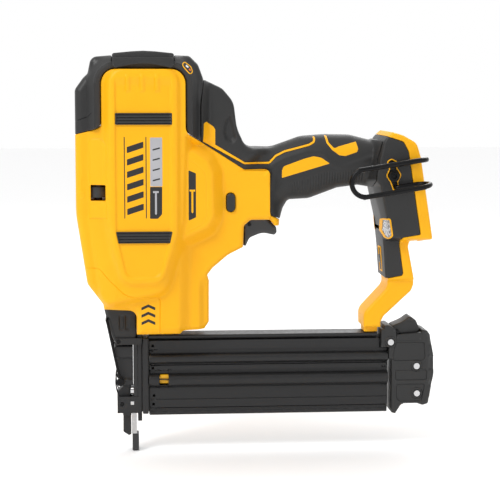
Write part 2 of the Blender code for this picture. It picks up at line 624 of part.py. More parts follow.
def nose():
    frame = box("nose_frame", (1.6, 5.2), (-11, 11), (31, 117), CASTING, edge=0.5)
    add(
        frame,
        box("nose_foot", (1.8, 5.0), (-7, 7), (23.5, 33)),
        box("nose_ear_left", (-14.0, 3), (-11, -9.1), (30.5, 43.2)),
        box("nose_ear_right", (-14.0, 3), (9.1, 11), (30.5, 43.2)),
        box("nose_collar", (-9.8, -3.3), (-10.6, 10.6), (28.5, 33.6), edge=0.5),
        prism("nose_guide", NOSE_GUIDE, -6.4, 6.4, edge=0.5),
        box("nose_latch_ear_left", (-15.6, 3.4), (-14.6, -12.9), (84.4, 89.4)),
        box("nose_latch_ear_right", (-15.6, 3.4), (12.9, 14.6), (84.4, 89.4)),
        box("nose_shoulder", (1.8, 5.0), (-14.4, 14.4), (84.6, 89.2)),
    )
    x, z = DOOR_PIVOT
    u, v = LATCH_PIVOT
    cut(
        frame,
        box("nose_nail_slot", (0, 8), (-1.3, 1.3), (NOSE_BOTTOM + 18, CHANNEL_TOP + 0.6)),
        rod("nose_pin_bore", (x, -20, z), (x, 20, z), 1.8),
        rod("nose_latch_bore", (u, -20, v), (u, 20, v), 1.8),
    )
    front = box("magazine_plate", (5.5, 10), (-13, 13), (30, 89), CASTING, edge=0.5)
    cut(front, box("plate_nail_slot", (0, 12), (-1.3, 1.3), (33.2, 87.6)))
    door = prism(
        "nose_door",
        [(-1.7, 82.9, 1), (-16.6, 82.9, 1.5), (-12.4, 60, 4), (-9.6, 50.5, 1), (-14.2, 46.6, 1), (-14.2, 39, 2),
         (-10.5, 34.4, 3), (-6.8, 36, 2), (-3.4, 44, 0.5), (-3.4, 52, 1), (-1.7, 54, 1)],
        -6.2, 6.2, CASTING, edge=0.6,
    )
    hx, hz = BAIL_HOOK
    add(
        door,
        prism("door_wings", DOOR_WING, -10.8, 10.8, edge=0.6),
        rod("door_boss", (hx + 0.6, -12.2, hz + 1), (hx + 0.6, 12.2, hz + 1), 2.2),
    )
    cut(door, rod("door_bore", (x, -20, z), (x, 20, z), 1.8))
    rod("door_pin", (x, -10.8, z), (x, 10.8, z), 1.5, STEEL, 12)
    lever = prism("latch_lever", LATCH_PAD, -12.5, 12.5, HARD_BLACK, edge=1.2)
    bx, bz = BAIL_PIVOT
    cut(lever, rod("lever_bore", (u, -20, v), (u, 20, v), 1.8),
        rod("lever_bail_groove", (bx, -20, bz), (bx, 20, bz), 1.6),
        box("lever_finger_room", (-19, 10), (-9.5, 9.5), (92, 103.5)))
    rod("latch_pin", (u, -14.6, v), (u, 14.6, v), 1.5, STEEL, 12)
    hook_y = 14.2
    bend = (bx + (hx - bx) * 0.1, bz + (hz - bz) * 0.1)
    near = [(hx, -hook_y, hz), (bend[0], -hook_y, bend[1]), (bx, -hook_y, bz)]
    route = near + [(x, -y, z) for x, y, z in reversed(near)]
    bail = tube("wire_bail", route, 1.1, STEEL, 2)
    bail = as_mesh(bail)
    add(bail, *[rod("bail_eye_" + label, (hx, side * 12.7, hz), (hx, side * 15.3, hz), 3.1)
                for label, side in sides()])
    bail.data.materials.append(STEEL)


def contact_trip():
    lift = box("contact_trip", (-3.1, 0.9), (-5.9, 5.9), (13.3, 17), STEEL)
    sx, sy = TRIP_SPRING
    wx, wy = DEPTH_WHEEL
    add(
        lift,
        box("trip_leg_left", (-3.1, 0.9), (-5.9, -4.1), (13.3, 42)),
        box("trip_leg_right", (-3.1, 0.9), (4.1, 5.9), (13.3, 42)),
        box("trip_step", (-1.2, 0.8), (-8.8, -4.1), (37, 42)),
        box("trip_strap", (-1.2, 1.2), (-8.8, -6.6), (37, 152)),
        box("trip_run", (wx - 3, 1.2), (-8.8, -6.6), (146, 152)),
        box("trip_rise", (wx - 3, wx + 3), (-8.8, -6.6), (146, 188)),
        box("trip_bridge", (wx - 3, wx + 3), (wy - 3.5, sy + 6), (184, 188)),
        rod("trip_stud", (wx, wy, 186), (wx, wy, 207), 3.0),
    )
    cut(lift, box("trip_nail_gap", (-1.6, 3), (-2, 2), (5, 25)))
    pad = box("no_mar_pad", (-2.6, 2.4), (-6.2, 6.2), (0, 13), RUBBER, edge=0.4)
    cut(pad, box("pad_nail_hole", (-1.0, 1.0), (-1.6, 1.6), (-5, 20)))
    tube("trip_spring", helix((sx, sy), 4.2, 189.4, 224, 6, 8), 0.7, STEEL, 1)


# ---------------------------------------------------------------- magazine
TUBE_LOW = (50.4, 62.2)
TUBE_HIGH = (68.2, 78.2)
MAGAZINE_BOTTOM = 28.0
COVER_TOP = 87.0
PUSHER_MIDDLE = 56.4


def cover_profile():
    """The section of the sliding cover: two ribbed side walls with a bulging tube twice, joined below."""
    side = [
        (8.6, MAGAZINE_BOTTOM, 1), (8.6, 33.4, 0), (9.6, 33.8, 0), (9.6, TUBE_LOW[0], 0),
        (13.8, TUBE_LOW[0] + 2.6, 4), (13.8, TUBE_LOW[1] - 2.6, 4), (8.2, TUBE_LOW[1], 0),
        (8.2, TUBE_HIGH[0], 0), (13.2, TUBE_HIGH[0] + 2, 3.4), (13.2, TUBE_HIGH[1] - 2, 3.4),
        (9.6, TUBE_HIGH[1], 0), (9.6, COVER_TOP, 0.6), (3.6, COVER_TOP, 0),
    ]
    inner = [
        (3.6, PUSHER_MIDDLE + 5, 0), (10.2, PUSHER_MIDDLE + 4, 1), (10.2, PUSHER_MIDDLE - 4, 1),
        (3.6, PUSHER_MIDDLE - 5, 0), (3.6, 31.5, 0),
    ]
    right = side + inner
    return right + [(-y, z, r) for y, z, r in reversed(right)]


def magazine():
    flange = [
        (-9, 87.5, 0), (-10.6, 88.7, 0), (-10.6, RAIL_TOP, 0.8), (10.6, RAIL_TOP, 0.8), (10.6, 88.7, 0),
        (9, 87.5, 0), (2.8, 87.5, 0), (2.8, 32.5, 0), (0.9, 32.5, 0), (0.9, 86.8, 0), (-0.9, 86.8, 0),
        (-0.9, 32.5, 0), (-2.8, 32.5, 0), (-2.8, 87.5, 0),
    ]
    rail = prism("magazine_rail", flange, MAGAZINE_FRONT, MAGAZINE_REAR - 2, ANODISED, along="X")
    slot = (PUSHER_MIDDLE - 2.6, PUSHER_MIDDLE + 2.6)
    cut(rail, box("rail_pusher_slot", (MAGAZINE_FRONT + 4, MAGAZINE_REAR - 8), (-6, 6), slot))
    cover = prism("magazine_cover", cover_profile(), MAGAZINE_FRONT, 196, ANODISED, along="X")
    cut(
        cover,
        box("cover_window", (18.2, 25), (-20, -8), (PUSHER_MIDDLE - 4.5, PUSHER_MIDDLE + 4.3)),
        box("cover_latch_room", (189.7, 200), (-20, 20), (COVER_TOP - 8, 100)),
    )
    end = [
        (190.2, 79.3, 0.5), (190.2, 93.8, 0.6), (192.5, 93.8, 0.3), (192.8, 96.6, 1), (197, 97, 2),
        (202, 93.6, 2), (203, 86, 2), (221, 86, 1), (222.4, 93.6, 1), (226.5, 92.4, 2.5), (229, 89, 2),
        (232.2, 72, 10), (232.4, 58, 10), (228, 34.8, 2), (223.5, 33.4, 2), (219, 35, 4), (207, 35, 5),
        (202, 27, 1.2), (198.8, 28, 1), (198.6, 70, 0), (196.3, 70, 0), (196.3, 79.3, 0),
    ]
    tail = prism("magazine_end_cap", end, -13.6, 13.6, HARD_BLACK, edge=1.2)
    cut(tail, box("cap_rail_room", (180, 199), (-11.2, 11.2), (60, RAIL_TOP + 0.7)))
    px, pz = MAGAZINE_LATCH_PIVOT
    latch = [
        (199.5, 95.8, 1.5), (208, 99.2, 20), (213.6, 103.4, 1.5), (218.5, 100, 4), (221.6, 92.5, 1.5),
        (220, 89.8, 1), (207, 88.6, 2), (200.8, 90.2, 1.5),
    ]
    release = prism("magazine_latch", latch, -9, 9, HARD_BLACK, edge=1.0)
    cut(
        tail,
        box("cap_latch_pocket", (198.6, 223), (-9.5, 9.5), (85.2, 110)),
        rod("cap_latch_bore", (px, -20, pz), (px, 20, pz), 1.8),
    )
    cut(release, rod("release_bore", (px, -20, pz), (px, 20, pz), 1.8))
    rod("magazine_latch_pin", (px, -12, pz), (px, 12, pz), 1.5, STEEL, 12)
    for label, x, z in (("upper", 197.9, 83.6), ("middle", 218.4, 64.6), ("lower", 218.8, 43)):
        cut(tail, rod("cap_screw_hole_" + label, (x, -15, z), (x, -9, z), 3.0))
        screw = [(0, 14.0), (2.4, 14.0), (2.6, 13.4), (2.6, 10), (1.2, 10), (1.2, 9.3), (0, 9.3)]
        turned("end_cap_screw_" + label, screw, (x, 0, z), (0, -1, 0), STEEL, sides=14)
    middle = PUSHER_MIDDLE
    pusher = box("pusher", (18.6, 32), (-0.6, 0.6), (34.5, 84.5), ACCENT)
    add(
        pusher,
        box("pusher_bridge", (18.6, 32), (-9.8, 9.8), (middle - 1.9, middle + 1.9)),
        box("pusher_wing_left", (18.6, 32), (-9.8, -4), (middle - 3.4, middle + 3.4), edge=0.5),
        box("pusher_wing_right", (18.6, 32), (4, 9.8), (middle - 3.4, middle + 3.4), edge=0.5),
    )
    roll = [(2.0, -3), (3.2, -3), (3.2, 3), (2.0, 3)]
    turned("pusher_spring", [(r, -h) for r, h in roll], (36, 7, middle), (0, -1, 0), STEEL, sides=16)


# ---------------------------------------------------------------- belt hook, battery dock
def hook_path():
    """The bent wire: from the slot back past the foot, round a hairpin outwards, and along the outer loop."""
    near, far = -33.9, -51.5
    inner, outer, back, front = 8.6, 10.2, 15.5, -25.0
    bend = (near - far) / 2
    lower = [(0, -inner, near + 4.5), (0.6, -inner, near + 1.4), (3, -inner, near)]
    for k in range(7):
        turn = math.pi * k / 6
        v = -inner + (inner - outer) * k / 6
        lower.append((back + bend * math.sin(turn), v, near - bend + bend * math.cos(turn)))
    for k in range(1, 8):
        turn = math.pi * k / 16
        lower.append((front - outer * math.sin(turn), -outer * math.cos(turn), far))
    upper = [(u, -v, y) for u, v, y in reversed(lower)]
    route = []
    for u, v, y in lower + [(front - outer, 0, far)] + upper:
        x, z = foot_frame(u, v)
        route.append((x, y, z))
    return route


def foot_fittings():
    tube("belt_hook", hook_path(), 1.9, STEEL_BLACK, 2)
    x, z = HOOK_CENTRE
    head = [(0, 34.2), (3.6, 34.2), (4.2, 33.6), (4.2, 31.3), (2.1, 31.3), (2.1, 27.9), (0, 27.9)]
    turned("hook_screw", head, (x, 0, z), (0, -1, 0), STEEL_BLACK, sides=20)
    for label, v in (("low", -8.6), ("high", 8.6)):
        x, z = foot_frame(0, v)
        cut(bpy.data.objects["foot_panel_left"],
            rod("foot_panel_hook_" + label, (x, -40, z), (x, -28.3, z), 2.5))
    corners = [(*foot_frame(u, v), 0.8) for u, v in ((11.4, -20), (17, -20), (17, 15), (11.4, 15))]
    block = prism("battery_terminal_block", corners, -21, 21, HARD_BLACK)
    for k in range(4):
        y = -13.5 + 9 * k
        slot = [(*foot_frame(u, v), 0) for u, v in ((14, -25), (30, -25), (30, 6), (14, 6))]
        cut(block, prism("terminal_slot_%d" % k, slot, y - 2.2, y + 2.2))
    corners = [(*foot_frame(u, v), 1) for u, v in ((-4.5, -36.5), (10.4, -36.5), (10.4, 12), (-4.5, 12))]
    prism("control_board", corners, -20, 20, CIRCUIT, edge=0.6)


clear_scene()
PARTS = collection("brad_nailer")
CUTTERS = collection("cutters")
NYLON = material("yellow_nylon", (0.95, 0.58, 0.02), 0.42)
RUBBER = material("black_rubber", (0.035, 0.035, 0.036), 0.7)
HARD_BLACK = material("black_nylon", (0.03, 0.03, 0.032), 0.5)
CASTING = material("black_casting", (0.04, 0.04, 0.042), 0.45, 0.4)
ANODISED = material("black_anodised", (0.035, 0.035, 0.037), 0.4, 0.5)
STEEL = material("bright_steel", (0.62, 0.62, 0.62), 0.3, 1.0)
STEEL_BLACK = material("black_oxide_steel", (0.03, 0.03, 0.03), 0.4, 0.8)
ALUMINIUM = material("cast_aluminium", (0.6, 0.61, 0.62), 0.45, 1.0)
COPPER = material("copper_windings", (0.6, 0.3, 0.12), 0.4, 0.9)
CLEAR = material("light_lens", (0.75, 0.76, 0.8), 0.2)
ACCENT = material("yellow_indicator", (0.95, 0.6, 0.03), 0.4)
CIRCUIT = material("potted_circuit", (0.05, 0.16, 0.08), 0.5)
casing()
drive()
controls()
nose()
contact_trip()
magazine()
foot_fittings()
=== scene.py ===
"""Looks for the cordless brad nailer: moulded shells, overmould, castings, magazine, studio.

Shapes are worked out in millimetres across (x), up (z) and out from the middle plane, and become
metres when a mesh is made. -Y is the tool's left side, which faces the camera.
"""

import math

import bpy
import numpy as np
from mathutils import Matrix, Vector, geometry, kdtree


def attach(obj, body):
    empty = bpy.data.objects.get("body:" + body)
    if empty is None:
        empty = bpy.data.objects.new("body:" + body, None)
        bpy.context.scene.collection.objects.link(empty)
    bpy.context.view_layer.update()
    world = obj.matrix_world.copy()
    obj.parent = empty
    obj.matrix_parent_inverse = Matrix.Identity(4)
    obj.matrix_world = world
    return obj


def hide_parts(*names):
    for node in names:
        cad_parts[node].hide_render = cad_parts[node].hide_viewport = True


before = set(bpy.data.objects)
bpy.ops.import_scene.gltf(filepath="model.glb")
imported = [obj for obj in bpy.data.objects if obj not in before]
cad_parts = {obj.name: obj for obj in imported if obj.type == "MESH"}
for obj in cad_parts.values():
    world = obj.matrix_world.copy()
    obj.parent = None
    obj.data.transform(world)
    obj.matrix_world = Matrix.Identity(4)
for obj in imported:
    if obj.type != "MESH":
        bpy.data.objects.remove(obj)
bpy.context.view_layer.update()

# ------------------------------------------------------------------ yellow casing
# Two halves injection-moulded in glass-filled nylon, screwed together on the middle plane. One surface
# runs over head, neck, handle, foot and leg: every moulding of the casing is cut from it, so they meet flush.
MM = 0.001
PARTING = 0.15

BODY = [
    (-23.4, 113.6, 0.8), (-23.9, 117.6, 2), (-35.6, 133, 8), (-43.6, 186, 60), (-43.6, 246, 4),
    (-43.6, 278.8, 6), (-37.4, 287.3, 5), (-33.9, 290.7, 3), (-31.3, 303, 6), (-15.9, 304.2, 1),
    (30.3, 304.2, 1), (41.8, 303.9, 4), (48.2, 297.6, 8), (52.3, 286.6, 1), (66.6, 279.8, 12),
    (75.2, 269.6, 16), (77.6, 250, 30), (83.4, 237.5, 10), (90, 235, 8), (105, 235, 20), (128, 243.2, 20),
    (146, 244.6, 30), (166, 244.2, 20), (181, 240.4, 8), (188.4, 240.6, 1), (191.2, 243.7, 1),
    (195.2, 246.8, 1), (203, 244.6, 12), (213.6, 238.6, 8), (216.9, 228, 10), (226.6, 165.8, 1.5),
    (225.6, 164.6, 1), (211, 162.9, 2), (210, 158.5, 2), (214.7, 134, 8), (215.2, 129.5, 8),
    (213.4, 124.2, 6), (191.9, 104.4, 6), (189.6, 99.8, 3), (189.5, 95.8, 0.5), (176.2, 95.8, 0.5),
    (176, 107.2, 10), (194.6, 127.2, 8), (194.4, 133.6, 0.6), (192.2, 134.3, 0.6), (190.6, 158, 6),
    (188.2, 181, 20), (182.4, 203.9, 1), (172, 205.6, 6), (156, 203.5, 12), (134, 195.4, 12),
    (118, 194.6, 4), (114, 188, 6), (111.4, 180.4, 1), (110.1, 175.4, 0.8), (106.6, 175.6, 1),
    (103, 180.3, 2), (88, 180.3, 4), (83, 176, 3), (82.4, 159.6, 1), (70.8, 153.8, 20), (59, 143.8, 6),
    (55.1, 138.6, 2), (56.5, 133.8, 3), (56.4, 102.2, 1.5), (52.8, 96.8, 1.5), (36.5, 96, 1), (34, 94.2, 1),
    (1.2, 94.0, 0.8), (1.2, 112.2, 6), (-17.5, 113.2, 3),
]
FRONT_BLOCK = [
    (-60, 80, 0), (33.2, 80, 0), (34.6, 170, 4), (40, 236, 4), (34, 250, 4), (34, 320, 0), (-60, 320, 0),
]
SHOULDER = [
    (-33.4, 292, 4), (-30.5, 330, 0), (47, 330, 0), (47, 243, 2), (38, 248, 8), (36, 180, 10), (22, 128, 14),
    (-12, 121, 14), (-24, 118, 6), (-31.5, 163, 30), (-34, 181, 30),
]
CREST = [
    (-17.6, 294, 11), (-18.6, 182, 40), (-15.5, 160, 30), (-8.8, 134.4, 11), (20.3, 134.4, 11),
    (31.8, 172, 24), (32.3, 294, 11),
]
PANEL = [(36.4, 232, 2), (43.5, 233, 4), (54.6, 225.4, 6), (58.6, 216.5, 6), (59, 184, 7), (54.5, 176, 5),
         (34.5, 166.6, 1), (30, 180, 0)]
HUMP_LEVEL = [(50.5, 239.8, 0), (50.7, 300, 0), (110, 300, 0), (96, 236, 10), (84, 226, 8), (72, 226.5, 0)]
FOOT_LEVEL = [
    (191.2, 260, 0), (189.8, 243.8, 3), (186.6, 229.7, 3), (182.6, 210.4, 2), (186.4, 206.4, 2),
    (191.2, 182, 6), (193.4, 166.4, 0.5), (240, 165, 0), (240, 260, 0),
]


def rounded(corners, closed=True, arc=math.radians(6)):
    """The points of an outline of (x, z, radius) corners, with arcs. A closed one runs anticlockwise."""
    points = [Vector(corner[:2]) for corner in corners]
    found = []
    for i, (x, z, radius) in enumerate(corners):
        here = points[i]
        if radius <= 0 or (not closed and i in (0, len(corners) - 1)):
            found.append(here)
            continue
        before = points[i - 1] - here
        after = points[(i + 1) % len(points)] - here
        coming, going = -before.normalized(), after.normalized()
        turn = math.atan2(coming.cross(going), coming.dot(going))
        if abs(turn) < 0.01:
            found.append(here)
            continue
        slope = math.tan(abs(turn) / 2)
        reach = min(radius * slope, 0.49 * before.length, 0.49 * after.length)
        way = 1 if turn > 0 else -1
        left = Vector((-coming.y, coming.x))
        centre = here - coming * reach + left * (reach / slope * way)
        start = here - coming * reach - centre
        steps = max(1, math.ceil(abs(turn) / arc))
        for k in range(steps + 1):
            found.append(centre + Matrix.Rotation(turn * k / steps, 2) @ start)
    found = np.array([tuple(point) for point in found])
    if closed:
        after = np.roll(found, -1, axis=0)
        area = (found[:, 0] * after[:, 1] - after[:, 0] * found[:, 1]).sum()
        found = found if area > 0 else found[::-1]
    return found


def segments(loop, closed=True):
    ends = np.roll(loop, -1, axis=0) if closed else loop[1:]
    starts = loop if closed else loop[:-1]
    keep = ((ends - starts) ** 2).sum(1) > 1e-12
    return starts[keep], ends[keep]


def distance(points, path, closed=False):
    """How far each point is from a path. From a closed one it is positive inside."""
    starts, ends = segments(path, closed)
    run = ends - starts
    length2 = (run ** 2).sum(1)
    rise = np.where(run[:, 1] == 0, 1e-9, run[:, 1])
    found = np.empty(len(points))
    for first in range(0, len(points), 4000):
        part = points[first:first + 4000, None]
        offset = part - starts
        along = np.clip((offset * run).sum(2) / length2, 0, 1)
        gap = np.sqrt(((offset - along[..., None] * run) ** 2).sum(2).min(1))
        if closed:
            spans = (starts[:, 1] > part[..., 1]) != (ends[:, 1] > part[..., 1])
            left_of = part[..., 0] < starts[:, 0] + (part[..., 1] - starts[:, 1]) * run[:, 0] / rise
            gap = np.where((spans & left_of).sum(1) % 2 == 1, gap, -gap)
        found[first:first + 4000] = gap
    return found


def inside(points, corners):
    return distance(points, rounded(corners), closed=True)


def evenly(path, spacing, closed=True):
    """The path with a point at least every spacing, its own points kept."""
    starts, ends = segments(path, closed)
    found = []
    for start, end in zip(starts, ends):
        count = max(1, round(float(np.hypot(*(end - start))) / spacing))
        found += [start + (end - start) * k / count for k in range(count)]
    return np.array(found)


def beside(path, offset, closed=True):
    """The points of a path moved to its left by an offset."""
    ahead = np.roll(path, -1, axis=0) - np.roll(path, 1, axis=0)
    if not closed:
        ahead[0], ahead[-1] = path[1] - path[0], path[-1] - path[-2]
    ahead /= np.maximum(np.hypot(ahead[:, 0], ahead[:, 1]), 1e-9)[:, None]
    return path + offset * np.column_stack((-ahead[:, 1], ahead[:, 0]))


def step(value, width):
    """0 below zero, 1 above width, and an eased rise between."""
    t = np.clip(value / width, 0, 1)
    return t * t * (3 - 2 * t)


def quarter(depth, radius):
    """How far a rounded edge has dropped at a depth in from the edge."""
    t = radius - np.clip(depth, 0, radius)
    return radius - np.sqrt(np.maximum(radius ** 2 - t ** 2, 0))


def smooth_max(a, b, blend):
    mix = np.maximum(blend - np.abs(a - b), 0) / blend
    return np.maximum(a, b) + mix * mix * blend / 4


def terrace(points, corners, height, slope, soft=1.4):
    """A flat level over an outline that falls away outside it."""
    depth = inside(points, corners)
    return height - slope * 0.5 * (np.sqrt(depth * depth + soft * soft) - depth)


def body_half(points):
    """Half the casing's thickness at each point of the side view."""
    edge = inside(points, BODY)
    x, z = points[:, 0], points[:, 1]
    half = 24.5 - quarter(edge, 3.5) - 3.5 * step(x - 47.5, 6) * step(140 - z, 12)
    levels = (
        (terrace(points, FRONT_BLOCK, 31, 0.85), 5.5, 2.0),
        (terrace(points, SHOULDER, 31.6 + 0.32 * np.clip(x + 33, 0, 18), 1.3), 5.0, 1.6),
        (terrace(points, CREST, 41, 1.5), 4.0, 2.0),
        (terrace(points, PANEL, 34, 1.15), 4.0, 1.6),
    )
    low = np.minimum(half, 60)
    for level, radius, blend in levels:
        low = smooth_max(low, level - quarter(edge, radius), blend)
    hump = terrace(points, HUMP_LEVEL, 25.5, 1.2) - quarter(edge, 9)
    handle = 17.6 - quarter(edge, 14.5)
    foot = terrace(points, FOOT_LEVEL, 31, 3.6, 0.6) - quarter(edge, 2.2)
    leg = 16.4 + 3 * step(z - 131, 3.4) - quarter(edge, 2.4)
    rear = smooth_max(smooth_max(handle, foot, 2.5), hump, 4)
    rear = np.where(z < 170, smooth_max(foot, leg, 1), rear)
    share = step(x - 74 - np.clip(222 - z, 0, 60) * 0.62, 22)
    front = np.maximum(low * (1 - share) + rear * share, np.where((x < 103) & (z < 218), low, 0))
    return np.where(x > 150, rear, front)


def triangulated(borders, inner):
    """Triangles over the region inside the first border and outside the others."""
    coords, edges = [], []
    for border in borders:
        first = len(coords)
        coords += [Vector(point) for point in border]
        edges += [(first + k, first + (k + 1) % len(border)) for k in range(len(border))]
    coords += [Vector(point) for point in inner]
    made = geometry.delaunay_2d_cdt(coords, edges, [], 1, 1e-5)
    flat = np.array([tuple(point) for point in made[0]])
    faces = np.array([tuple(face) for face in made[2]])
    centres = flat[faces].mean(axis=1)
    keep = distance(centres, borders[0], closed=True) > 0
    for hole in borders[1:]:
        keep &= distance(centres, hole, closed=True) < 0
    faces = faces[keep]
    a, b, c = (flat[faces[:, k]] for k in range(3))
    area = (b[:, 0] - a[:, 0]) * (c[:, 1] - a[:, 1]) - (c[:, 0] - a[:, 0]) * (b[:, 1] - a[:, 1])
    faces[area < 0] = faces[area < 0][:, ::-1]
    used, index = np.unique(faces, return_inverse=True)
    return flat[used], index.reshape(faces.shape)


def level(height, points):
    return height(points) if callable(height) else np.full(len(points), float(height))


RIM_STEPS = (0.1, 0.3, 0.65, 1.2, 2.0, 3.0, 4.2)


def relief(corners, half, back=PARTING, rim=0.5, spacing=0.9, creases=(), holes=(), closed_back=False):
    """Points and faces of a moulding seen from its left side, on that side of the middle plane.

    half gives the surface's distance from the middle plane, as a number or a function of the points, and
    so does back for its hidden side, where the walls end. rim rounds the moulding's own edge. creases are
    (path, closed, offsets) that the triangles follow.
    """
    outer = evenly(rounded(corners), spacing)
    borders = [outer] + [evenly(rounded(hole), spacing) for hole in holes]

    def depth_of(points):
        depth = distance(points, borders[0], closed=True)
        for hole in borders[1:]:
            depth = np.minimum(depth, -distance(points, hole, closed=True))
        return depth

    lines = []
    for border, way in zip(borders, [1] + [-1] * len(holes)):
        for reach in RIM_STEPS:
            ring = beside(border, way * reach)
            lines.append(ring[depth_of(ring) > 0.94 * reach])
    for path, closed, offsets in creases:
        path = evenly(path, spacing * 0.8, closed)
        for offset in offsets:
            line = beside(path, offset, closed)
            lines.append(line[depth_of(line) > 0.25])
    low, high = outer.min(axis=0), outer.max(axis=0)
    columns = np.arange(low[0], high[0], spacing)
    rows = np.arange(low[1], high[1], spacing * 0.87)
    grid = np.array([(x + (k % 2) * spacing / 2, z) for k, z in enumerate(rows) for x in columns])
    lines.append(grid[depth_of(grid) > RIM_STEPS[-1] * 0.5])
    kept = []
    tree = kdtree.KDTree(sum(len(line) for line in lines))
    room = [0.12] * (len(lines) - 1) + [spacing * 0.55]
    for line, gap in zip(lines, room):
        found = [point for point in line if not kept or tree.find((*point, 0))[2] is None
                 or tree.find((*point, 0))[2] > gap]
        for point in found:
            tree.insert((*point, 0), len(kept))
            kept.append(point)
        tree.balance()
    flat, faces = triangulated(borders, kept)
    depth = np.maximum(depth_of(flat), 0)
    out = level(half, flat) - quarter(depth, rim)
    front = np.column_stack((flat[:, 0], -out, flat[:, 1]))
    rear = np.column_stack((flat[:, 0], -level(back, flat), flat[:, 1]))
    ends = np.concatenate([faces[:, [0, 1]], faces[:, [1, 2]], faces[:, [2, 0]]])
    keys = set(map(tuple, ends))
    rims = np.array([edge for edge in map(tuple, ends) if edge[::-1] not in keys])
    count = len(flat)
    walls = np.column_stack((rims[:, 0], rims[:, 0] + count, rims[:, 1] + count, rims[:, 1]))
    all_faces = [tuple(face) for face in faces] + [tuple(wall) for wall in walls]
    if closed_back:
        all_faces += [tuple(face[::-1] + count) for face in faces]
    return np.concatenate([front, rear]), all_faces


def mirrored(shape):
    points, faces = shape
    return points * (1, -1, 1), [tuple(reversed(face)) for face in faces]


def joined(*shapes):
    points, faces = [], []
    for more_points, more_faces in shapes:
        first = sum(len(part) for part in points)
        points.append(np.asarray(more_points, float))
        faces += [tuple(int(k) + first for k in face) for face in more_faces]
    return np.concatenate(points), faces


def both(*shapes):
    """Shapes of the left side with their mirror images."""
    return joined(*[shape for one in shapes for shape in (one, mirrored(one))])


def piece(name, shape, material, body="tool", sharp=35, replaces=()):
    """An object in the model from points in millimetres, riding on a body of the frame."""
    points, faces = shape
    used = sorted({int(k) for face in faces for k in face})
    place = {k: i for i, k in enumerate(used)}
    mesh = bpy.data.meshes.new(name)
    corners = (np.asarray(points)[used] * MM).tolist()
    mesh.from_pydata(corners, [], [[place[int(k)] for k in face] for face in faces])
    mesh.shade_smooth()
    mesh.set_sharp_from_angle(angle=math.radians(sharp))
    mesh.materials.append(material)
    obj = bpy.data.objects.new(name, mesh)
    bpy.context.scene.collection.objects.link(obj)
    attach(obj, body)
    if replaces:
        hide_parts(*replaces)


def pair(name, shape, material, node_name=None):
    """The left piece and its mirror image, each standing for the CAD node of its side where there is one."""
    for side, turned in (("left", shape), ("right", mirrored(shape))):
        replaced = ["%s_%s" % (node_name, side)] if node_name else []
        piece("%s_%s" % (name, side), turned, material, replaces=replaced)


RECESS = [(-14, 300, 0), (-14, 173, 20), (-6.4, 138.8, 7), (19.4, 138.8, 7), (27.4, 171, 20), (28.3, 300, 0)]
RECESS_FADE = [(-60, 289, 0), (60, 289, 0), (60, 80, 0), (-60, 80, 0)]
WINDOW = [(-32.3, 196.3, 0.6), (-21.2, 196.3, 0.6), (-21.2, 208.2, 0.6), (-32.3, 208.2, 0.6)]
WINDOW_BLOCK = [(-33.6, 182.8, 0.6), (-20.2, 182.8, 0.6), (-20.2, 243, 8), (-33.4, 243, 4)]
SHROUD_SEAM = [(-38, 146, 0), (-26, 145.2, 3), (-18.6, 136.4, 8), (-6.5, 125, 12), (3, 123.2, 20),
               (18.9, 122.6, 2.4), (18.9, 88, 0)]
PANEL_LINE = [(38, 227, 0), (46, 223.5, 3), (52.4, 217.8, 3), (54.2, 211, 3), (54.2, 184, 3), (51, 178.2, 3),
              (38, 171.5, 0)]
LOWER_BAND = [(-2, 99.4, 0), (60, 98.8, 0)]
LOCK_HOLE = [(69.3, 186.7, 3.4), (76.3, 186.7, 3.4), (76.3, 201.3, 3.4), (69.3, 201.3, 3.4)]
ICON_STEM = [(-39.6, 203.6, 0), (-39.6, 213.5, 0)]
ICON_CENTRE = (-39.8, 200.4)
ICON_RADIUS = 2.7
RIBS_X = (-3.8, 6.9, 17.8)
RIBS_Z = (276.5, 291.5)


def yellow_half(points):
    """The casing's surface with what is moulded into the yellow: recess, ribs, seams, thin lines."""
    x, z = points[:, 0], points[:, 1]
    half = body_half(points)
    recess = step(inside(points, RECESS) + 0.5, 2.0) * step(inside(points, RECESS_FADE), 8)
    half = half - 1.4 * recess
    for rib in RIBS_X:
        along_rib = step(z - RIBS_Z[0], 2) * step(RIBS_Z[1] - z, 5)
        half = half + 0.9 * along_rib * step(x - rib + 2.4, 0.6) * step(rib + 2.4 - x, 2.6)
    half = half + 0.9 * step(inside(points, WINDOW_BLOCK), 1.0)
    for path, deep in ((SHROUD_SEAM, 0.5), (PANEL_LINE, 0.16)):
        gap = distance(points, rounded(path, closed=False))
        half = half - deep * (1 - step(gap - 0.12, 0.3))
    half = half - 0.3 * step(99.2 - z, 0.7) * step(x - 1, 1) * step(60 - x, 1)
    ring = np.abs(np.hypot(x - ICON_CENTRE[0], z - ICON_CENTRE[1]) - ICON_RADIUS)
    ring = np.minimum(ring, distance(points, rounded(ICON_STEM, closed=False)))
    half = half + 0.18 * (1 - step(ring - 0.2, 0.3))
    return half


def circle(x, z, radius):
    return np.array([(x + radius * math.cos(a / 3), z + radius * math.sin(a / 3)) for a in range(19)])


